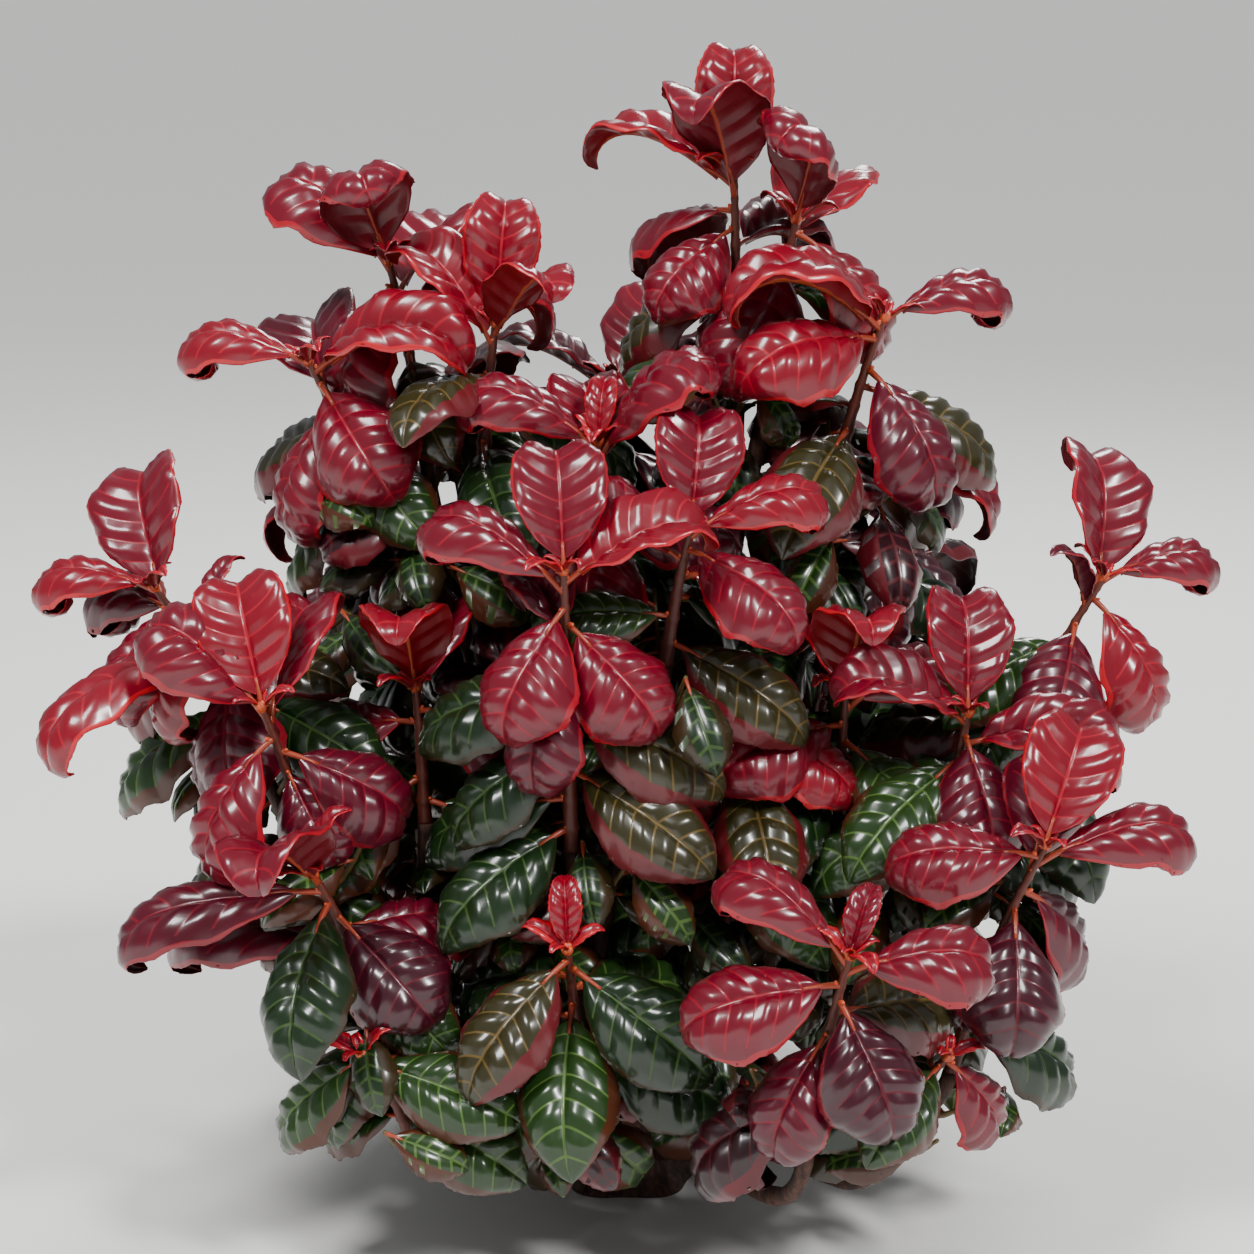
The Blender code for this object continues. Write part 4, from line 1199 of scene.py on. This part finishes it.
def furrowed_bark():
    """Thin matt shrub bark: reddish brown with paler cracks a couple of millimetres apart."""
    material = bpy.data.materials.new("furrowed_bark")
    material.use_nodes = True
    tree = material.node_tree
    shader = tree.nodes["Principled BSDF"]
    shader.inputs["Roughness"].default_value = BARK_ROUGHNESS
    place = node(tree, "ShaderNodeTexCoord")
    stretch = node(tree, "ShaderNodeMapping", {"Scale": (1.0, 1.0, FURROW_STRETCH)},
                   {"Vector": place.outputs["Object"]})
    grain = node(tree, "ShaderNodeTexNoise", {"Scale": 1000.0 / FURROW_MM, "Detail": 4.0, "Roughness": 0.6},
                 {"Vector": stretch.outputs["Vector"]})
    ramp = node(tree, "ShaderNodeValToRGB", links={"Fac": grain.outputs["Fac"]})
    for stop, edge, colour in zip(ramp.color_ramp.elements, CRACK_EDGES, (BARK_DARK, BARK_LIGHT)):
        stop.position = edge
        stop.color = linear(colour)
    bump = node(tree, "ShaderNodeBump", {"Strength": FURROW_STRENGTH, "Distance": FURROW_DEPTH},
                {"Height": grain.outputs["Fac"]})
    tree.links.new(ramp.outputs["Color"], shader.inputs["Base Color"])
    tree.links.new(bump.outputs["Normal"], shader.inputs["Normal"])
    return material


# Green wood, leaf stalks and bud scales have less wax than a blade
bark = furrowed_bark()
young_wood = waxy_skin("young_wood", "#5A2418", 0.50, 0.10)
green_wood = waxy_skin("green_wood", "#5C4A26", 0.50, 0.10)
stalk_skin = waxy_skin("leaf_stalk", "#9A3A22", 0.42, 0.20)
bud_skin = waxy_skin("bud_scale", "#C4502A", 0.40, 0.20)

# %% Rings of a limb
# How fast the noise's finer layers fade and how much finer each is, then its scale on a limb
LAYER_FADE = 1.0
LAYER_SCALE = 2.0
RELIEF_ROUND = 3.0
RELIEF_ALONG = 60.0
RELIEF_LAYERS = 3


def ring_faces(rings, sides):
    """Four-sided faces between rings of points that follow each other."""
    faces = []
    for ring in range(rings - 1):
        for corner in range(sides):
            a, b = ring * sides + corner, ring * sides + (corner + 1) % sides
            faces.append((a, b, b + sides, a + sides))
    return faces


def cap_faces(hub, first, sides, turn_out):
    """Four-sided faces round a middle point that close a ring with an even number of corners."""
    faces = []
    for corner in range(0, sides, 2):
        a, b, c = (first + corner, first + (corner + 1) % sides, first + (corner + 2) % sides)
        faces.append((hub, c, b, a) if turn_out else (hub, a, b, c))
    return faces


def ring_tube(path, radii, sides, relief_share=0.0, seed=0.0):
    """Points and four-sided faces of a limb with furrows down its length, closed at both ends."""
    points = []
    side = path[0][1].orthogonal().normalized()
    travelled = 0.0
    for ring, ((centre, along), radius) in enumerate(zip(path, radii)):
        if ring:
            travelled += (centre - path[ring - 1][0]).length
        side = (side - along * side.dot(along)).normalized()
        for corner in range(sides):
            turn = math.tau * corner / sides
            out = Quaternion(along, turn) @ side
            if relief_share:
                spot = Vector((math.cos(turn) * RELIEF_ROUND + seed, math.sin(turn) * RELIEF_ROUND,
                               travelled * RELIEF_ALONG))
                out *= 1.0 + relief_share * noise.fractal(spot, LAYER_FADE, LAYER_SCALE, RELIEF_LAYERS)
            points.append(centre + out * radius)
    faces = ring_faces(len(path), sides)
    last = (len(path) - 1) * sides
    for first, centre, turn_out in ((0, path[0][0], True), (last, path[-1][0], False)):
        points.append(centre.copy())
        faces += cap_faces(len(points) - 1, first, sides, turn_out)
    return np.array(points), np.array(faces)


# %% Foot
FOOT_FINE_SIDES = 96
FOOT_RINGS_A_STEP = 7
FOOT_RINGS_BELOW = 2
FOOT_RELIEF = 0.09
FOOT_RELIEF_ROUND = 5.0
FOOT_RELIEF_ALONG = 2.0
FOOT_RELIEF_LAYERS = 4
# Shares of the foot's radius and height down its outside, and in again along its flat cut
FOOT_PROFILE = [(0.08, 1.0), (0.62, 0.97), (1.0, 0.78), (1.03, 0.42), (1.15, 0.18),
                (FOOT_FLARE_RADIUS / FOOT_RADIUS, 0.0), (0.08, 0.0)]


def foot_shape():
    """The woody foot: its source profile turned and lobed, with finer rings and furrows."""
    fine = []
    for (r0, h0), (r1, h1) in zip(FOOT_PROFILE, FOOT_PROFILE[1:]):
        count = FOOT_RINGS_BELOW if h0 == h1 else FOOT_RINGS_A_STEP
        fine += [(r0 + (r1 - r0) * k / count, h0 + (h1 - h0) * k / count) for k in range(count)]
    fine.append(FOOT_PROFILE[-1])
    points = []
    for radius, height in fine:
        for corner in range(FOOT_FINE_SIDES):
            turn = math.tau * corner / FOOT_FINE_SIDES
            lobe = 1.0 + FOOT_LOBE_DEPTH * math.sin(FOOT_LOBES * turn)
            spot = Vector((math.cos(turn) * FOOT_RELIEF_ROUND, math.sin(turn) * FOOT_RELIEF_ROUND,
                           height * FOOT_RELIEF_ALONG))
            grain = noise.fractal(spot, LAYER_FADE, LAYER_SCALE, FOOT_RELIEF_LAYERS)
            furrow = 1.0 + FOOT_RELIEF * grain * (height > 0.0)
            reach = radius * FOOT_RADIUS * lobe * furrow
            points.append((math.cos(turn) * reach, math.sin(turn) * reach, height * FOOT_HEIGHT))
    # The rings run from the top down, so their faces are turned round to look outward
    faces = [(a, d, c, b) for a, b, c, d in ring_faces(len(fine), FOOT_FINE_SIDES)]
    last = (len(fine) - 1) * FOOT_FINE_SIDES
    for first, height, turn_out in ((0, FOOT_HEIGHT, False), (last, 0.0, True)):
        points.append((0.0, 0.0, height))
        faces += cap_faces(len(points) - 1, first, FOOT_FINE_SIDES, turn_out)
    return np.array(points), np.array(faces)


# %% Boughs
BOUGH_RING_STEP = 0.0034
FEWEST_RINGS = 8
BOUGH_SIDES = 14
BARK_RELIEF = 0.16
NODE_SPACING = 0.017
NODE_SWELL = 0.10
NODE_LENGTH = 0.0016
# Each bough starts its furrows elsewhere in the noise, by its name's length and its start
SEED_A_LETTER = 3.7
SEED_A_METRE = 900


def swollen(radius, distance):
    """Radius with a low collar at every old leaf node."""
    near = abs((distance / NODE_SPACING) % 1.0 - 0.5) * NODE_SPACING
    return radius * (1.0 + NODE_SWELL * math.exp(-(near / NODE_LENGTH) ** 2))


def fine_bough(name):
    """A bough's tube, on the source's line and with its taper, that runs on into its stem."""
    start, leaving, end, arriving, base_radius = lines[name]
    count = max(FEWEST_RINGS, int((end - start).length / BOUGH_RING_STEP))
    path = bezier(start, leaving, end + arriving * (STRAIGHT_END + GAP * 2), arriving, count)
    distance, radii = 0.0, []
    for number, radius in enumerate(taper(base_radius, BOUGH_TIP_RADIUS, count)):
        if number:
            distance += (path[number][0] - path[number - 1][0]).length
        radii.append(swollen(radius, distance))
    own_seed = len(name) * SEED_A_LETTER + start.x * SEED_A_METRE
    return ring_tube(path, radii, BOUGH_SIDES, BARK_RELIEF, own_seed)


solid_limbs = [name for name in frame["nodes"] if not name.startswith("leaves_")]
plain_piece("foot_and_boughs", [foot_shape()] + [fine_bough(name) for name in lines], bark,
            solid_limbs)

# %% [markdown]
# ## Stems, twigs and stalks
#
# The leafy stems are smooth young wood, thicker at each node, red where the light falls and green-brown
# inside. A stalk joins each leaf to its node and runs on under the blade as the midrib. They could be left
# out as hidden by leaves, but between the leaves of a shoot they show, so each is a tube on its own line.

# %% Stems and twigs
STEM_RING_STEP = 0.0016
FEWEST_STEM_RINGS = 4
STEM_SIDES = 10
STEM_RELIEF = 0.03
STEM_NODE_SWELL = 0.22
STEM_NODE_LENGTH = 0.0013


def stem_tube(path, start_radius, end_radius, depths):
    """A leafy stem of even, close rings with a collar at each leaf's node."""
    total = path_length(path)
    count = max(FEWEST_STEM_RINGS, int(total / STEM_RING_STEP))
    fine, radii = [], []
    for number in range(count + 1):
        share = number / count
        depth = total * (1 - share)
        near = min(abs(depth - node_depth) for node_depth in depths)
        collar = 1.0 + STEM_NODE_SWELL * math.exp(-(near / STEM_NODE_LENGTH) ** 2)
        fine.append(on_path(path, depth))
        radii.append((start_radius + (end_radius - start_radius) * share) * collar)
    return ring_tube(fine, radii, STEM_SIDES, STEM_RELIEF)


stem_shapes = []
for shoot in SHOOTS:
    depths = node_depths(len(leaf_words(shoot)))
    stem_shapes.append(stem_tube(stems[shoot.name], BOUGH_TIP_RADIUS, STEM_TIP_RADIUS, depths))
masses = [name for name in frame["nodes"] if name.startswith("leaves_")]
plain_piece("leafy_stems", stem_shapes, young_wood, masses)

twig_shapes = [stem_tube(path, *TWIG_RADII, TWIG_DEPTHS) for _, path in twigs]
plain_piece("side_twigs", twig_shapes, green_wood, {"leaves_" + shoot.name for shoot, _ in twigs})

# %% Leaf stalks
STALK_RADII = (0.00135, 0.00085)
STALK_END = 0.20
STALK_SIDES = 6
STALK_RINGS = 7
STALK_DROP = 0.0009
STALK_SIZES = (0.7, 1.1)


def stalk(leaf):
    """The stalk of a leaf, from inside its stem to under the base of the blade."""
    path = []
    for share in taper(0.0, STALK_END, STALK_RINGS):
        centre, along, upper = frame_at(leaf.frames, share)
        under = max(0.0, share - PETIOLE_SHARE) / (STALK_END - PETIOLE_SHARE)
        path.append((centre - upper * (STALK_DROP * under), along.normalized()))
    smallest, largest = STALK_SIZES
    size = max(smallest, min(largest, leaf.length / LEAF_LENGTH))
    radii = [radius * size for radius in taper(*STALK_RADII, STALK_RINGS)]
    return ring_tube(path, radii, STALK_SIDES)


plain_piece("leaf_stalks", [stalk(leaf) for leaf in all_leaves], stalk_skin, [])

# %% [markdown]
# ## Buds
#
# A small orange bud sits in the angle above each leaf stalk, and a tight cluster of them closes every
# growing tip. They repeat many times, so Geometry Nodes place them: one drop-shaped bud is put on each point
# of a small mesh, turned along a direction and scaled by a size that the points carry. The instances are
# then made real, because the exported model keeps only real meshes.

# %% Where the buds stand
BUD_LENGTH = 0.0034
BUD_WIDTH = 0.0019
BUD_ALONG = 0.0026
BUD_ABOVE = 0.0012
BUD_LEAN = 0.6
BUD_SIZES = (0.6, 0.5)
TIP_BUDS = 5
TIP_BUD_LEAN = math.radians(24)
TIP_BUD_ASIDE = 0.0008
TIP_BUD_SIZES = (1.1, 0.7)


def chance_size(least, spread):
    """A bud's size, dealt between the least and that much more."""
    return least + spread * dealer.random()


spots, directions, sizes = [], [], []
for leaf in leaves:
    root, along, upper = leaf.frames[0]
    stand_off = along * BUD_ALONG + upper * BUD_ABOVE
    spots.append(root + stand_off)
    directions.append((along * BUD_LEAN + upper).normalized())
    sizes.append(chance_size(*BUD_SIZES))
for shoot in SHOOTS:
    tip, along = stems[shoot.name][-1]
    for number in range(TIP_BUDS):
        side = Quaternion(along, math.radians(number * GOLDEN_ANGLE)) @ along.orthogonal().normalized()
        directions.append((along * math.cos(TIP_BUD_LEAN) + side * math.sin(TIP_BUD_LEAN)).normalized())
        spots.append(tip + side * TIP_BUD_ASIDE)
        sizes.append(chance_size(*TIP_BUD_SIZES))
print(len(spots), "buds")


# %% Bud tree in Geometry Nodes
BUD_SEGMENTS = 8
BUD_RINGS = 6
BUD_INPUTS = {"Bud length": BUD_LENGTH, "Bud width": BUD_WIDTH}


def bud_tree(material):
    """A tree that puts a drop-shaped bud on each point, along its direction and at its size."""
    tree = bpy.data.node_groups.new("buds_on_points", "GeometryNodeTree")
    tree.interface.new_socket("Geometry", in_out="INPUT", socket_type="NodeSocketGeometry")
    for label in BUD_INPUTS:
        tree.interface.new_socket(label, in_out="INPUT", socket_type="NodeSocketFloat")
    tree.interface.new_socket("Geometry", in_out="OUTPUT", socket_type="NodeSocketGeometry")
    entry = node(tree, "NodeGroupInput")
    ball = node(tree, "GeometryNodeMeshUVSphere",
                {"Segments": BUD_SEGMENTS, "Rings": BUD_RINGS, "Radius": 0.5})
    scale = node(tree, "ShaderNodeCombineXYZ", links={
        "X": entry.outputs["Bud width"], "Y": entry.outputs["Bud width"], "Z": entry.outputs["Bud length"]})
    drop = node(tree, "GeometryNodeTransform", links={
        "Geometry": ball.outputs["Mesh"], "Scale": scale.outputs["Vector"]})
    toward = node(tree, "GeometryNodeInputNamedAttribute", {"data_type": "FLOAT_VECTOR", "Name": "toward"})
    size = node(tree, "GeometryNodeInputNamedAttribute", {"data_type": "FLOAT", "Name": "size"})
    turned = node(tree, "FunctionNodeAlignRotationToVector", {"axis": "Z"},
                  {"Vector": toward.outputs["Attribute"]})
    placed = node(tree, "GeometryNodeInstanceOnPoints", links={
        "Points": entry.outputs["Geometry"], "Instance": drop.outputs["Geometry"],
        "Rotation": turned.outputs["Rotation"], "Scale": size.outputs["Attribute"]})
    real = node(tree, "GeometryNodeRealizeInstances", links={"Geometry": placed.outputs["Instances"]})
    coloured = node(tree, "GeometryNodeSetMaterial", {"Material": material},
                    {"Geometry": real.outputs["Geometry"]})
    node(tree, "NodeGroupOutput", links={"Geometry": coloured.outputs["Geometry"]})
    return tree


# %% Make the buds real
guide_mesh = bpy.data.meshes.new("bud_guide")
guide_mesh.from_pydata([tuple(spot) for spot in spots], [], [])
toward_layer = guide_mesh.attributes.new("toward", "FLOAT_VECTOR", "POINT")
toward_layer.data.foreach_set("vector", np.array([tuple(d) for d in directions], np.float32).ravel())
size_layer = guide_mesh.attributes.new("size", "FLOAT", "POINT")
size_layer.data.foreach_set("value", np.array(sizes, np.float32))
guide = bpy.data.objects.new("bud_guide", guide_mesh)
bpy.context.scene.collection.objects.link(guide)
grower = guide.modifiers.new("buds", "NODES")
grower.node_group = bud_tree(bud_skin)
for item in grower.node_group.interface.items_tree:
    if item.name in BUD_INPUTS:
        grower[item.identifier] = BUD_INPUTS[item.name]
bpy.context.view_layer.update()
bud_mesh = bpy.data.meshes.new_from_object(guide.evaluated_get(bpy.context.evaluated_depsgraph_get()))
bpy.data.objects.remove(guide)
bud_mesh.shade_smooth()
bud_piece = bpy.data.objects.new("buds", bud_mesh)
bpy.context.scene.collection.objects.link(bud_piece)
settle(bud_piece, [])
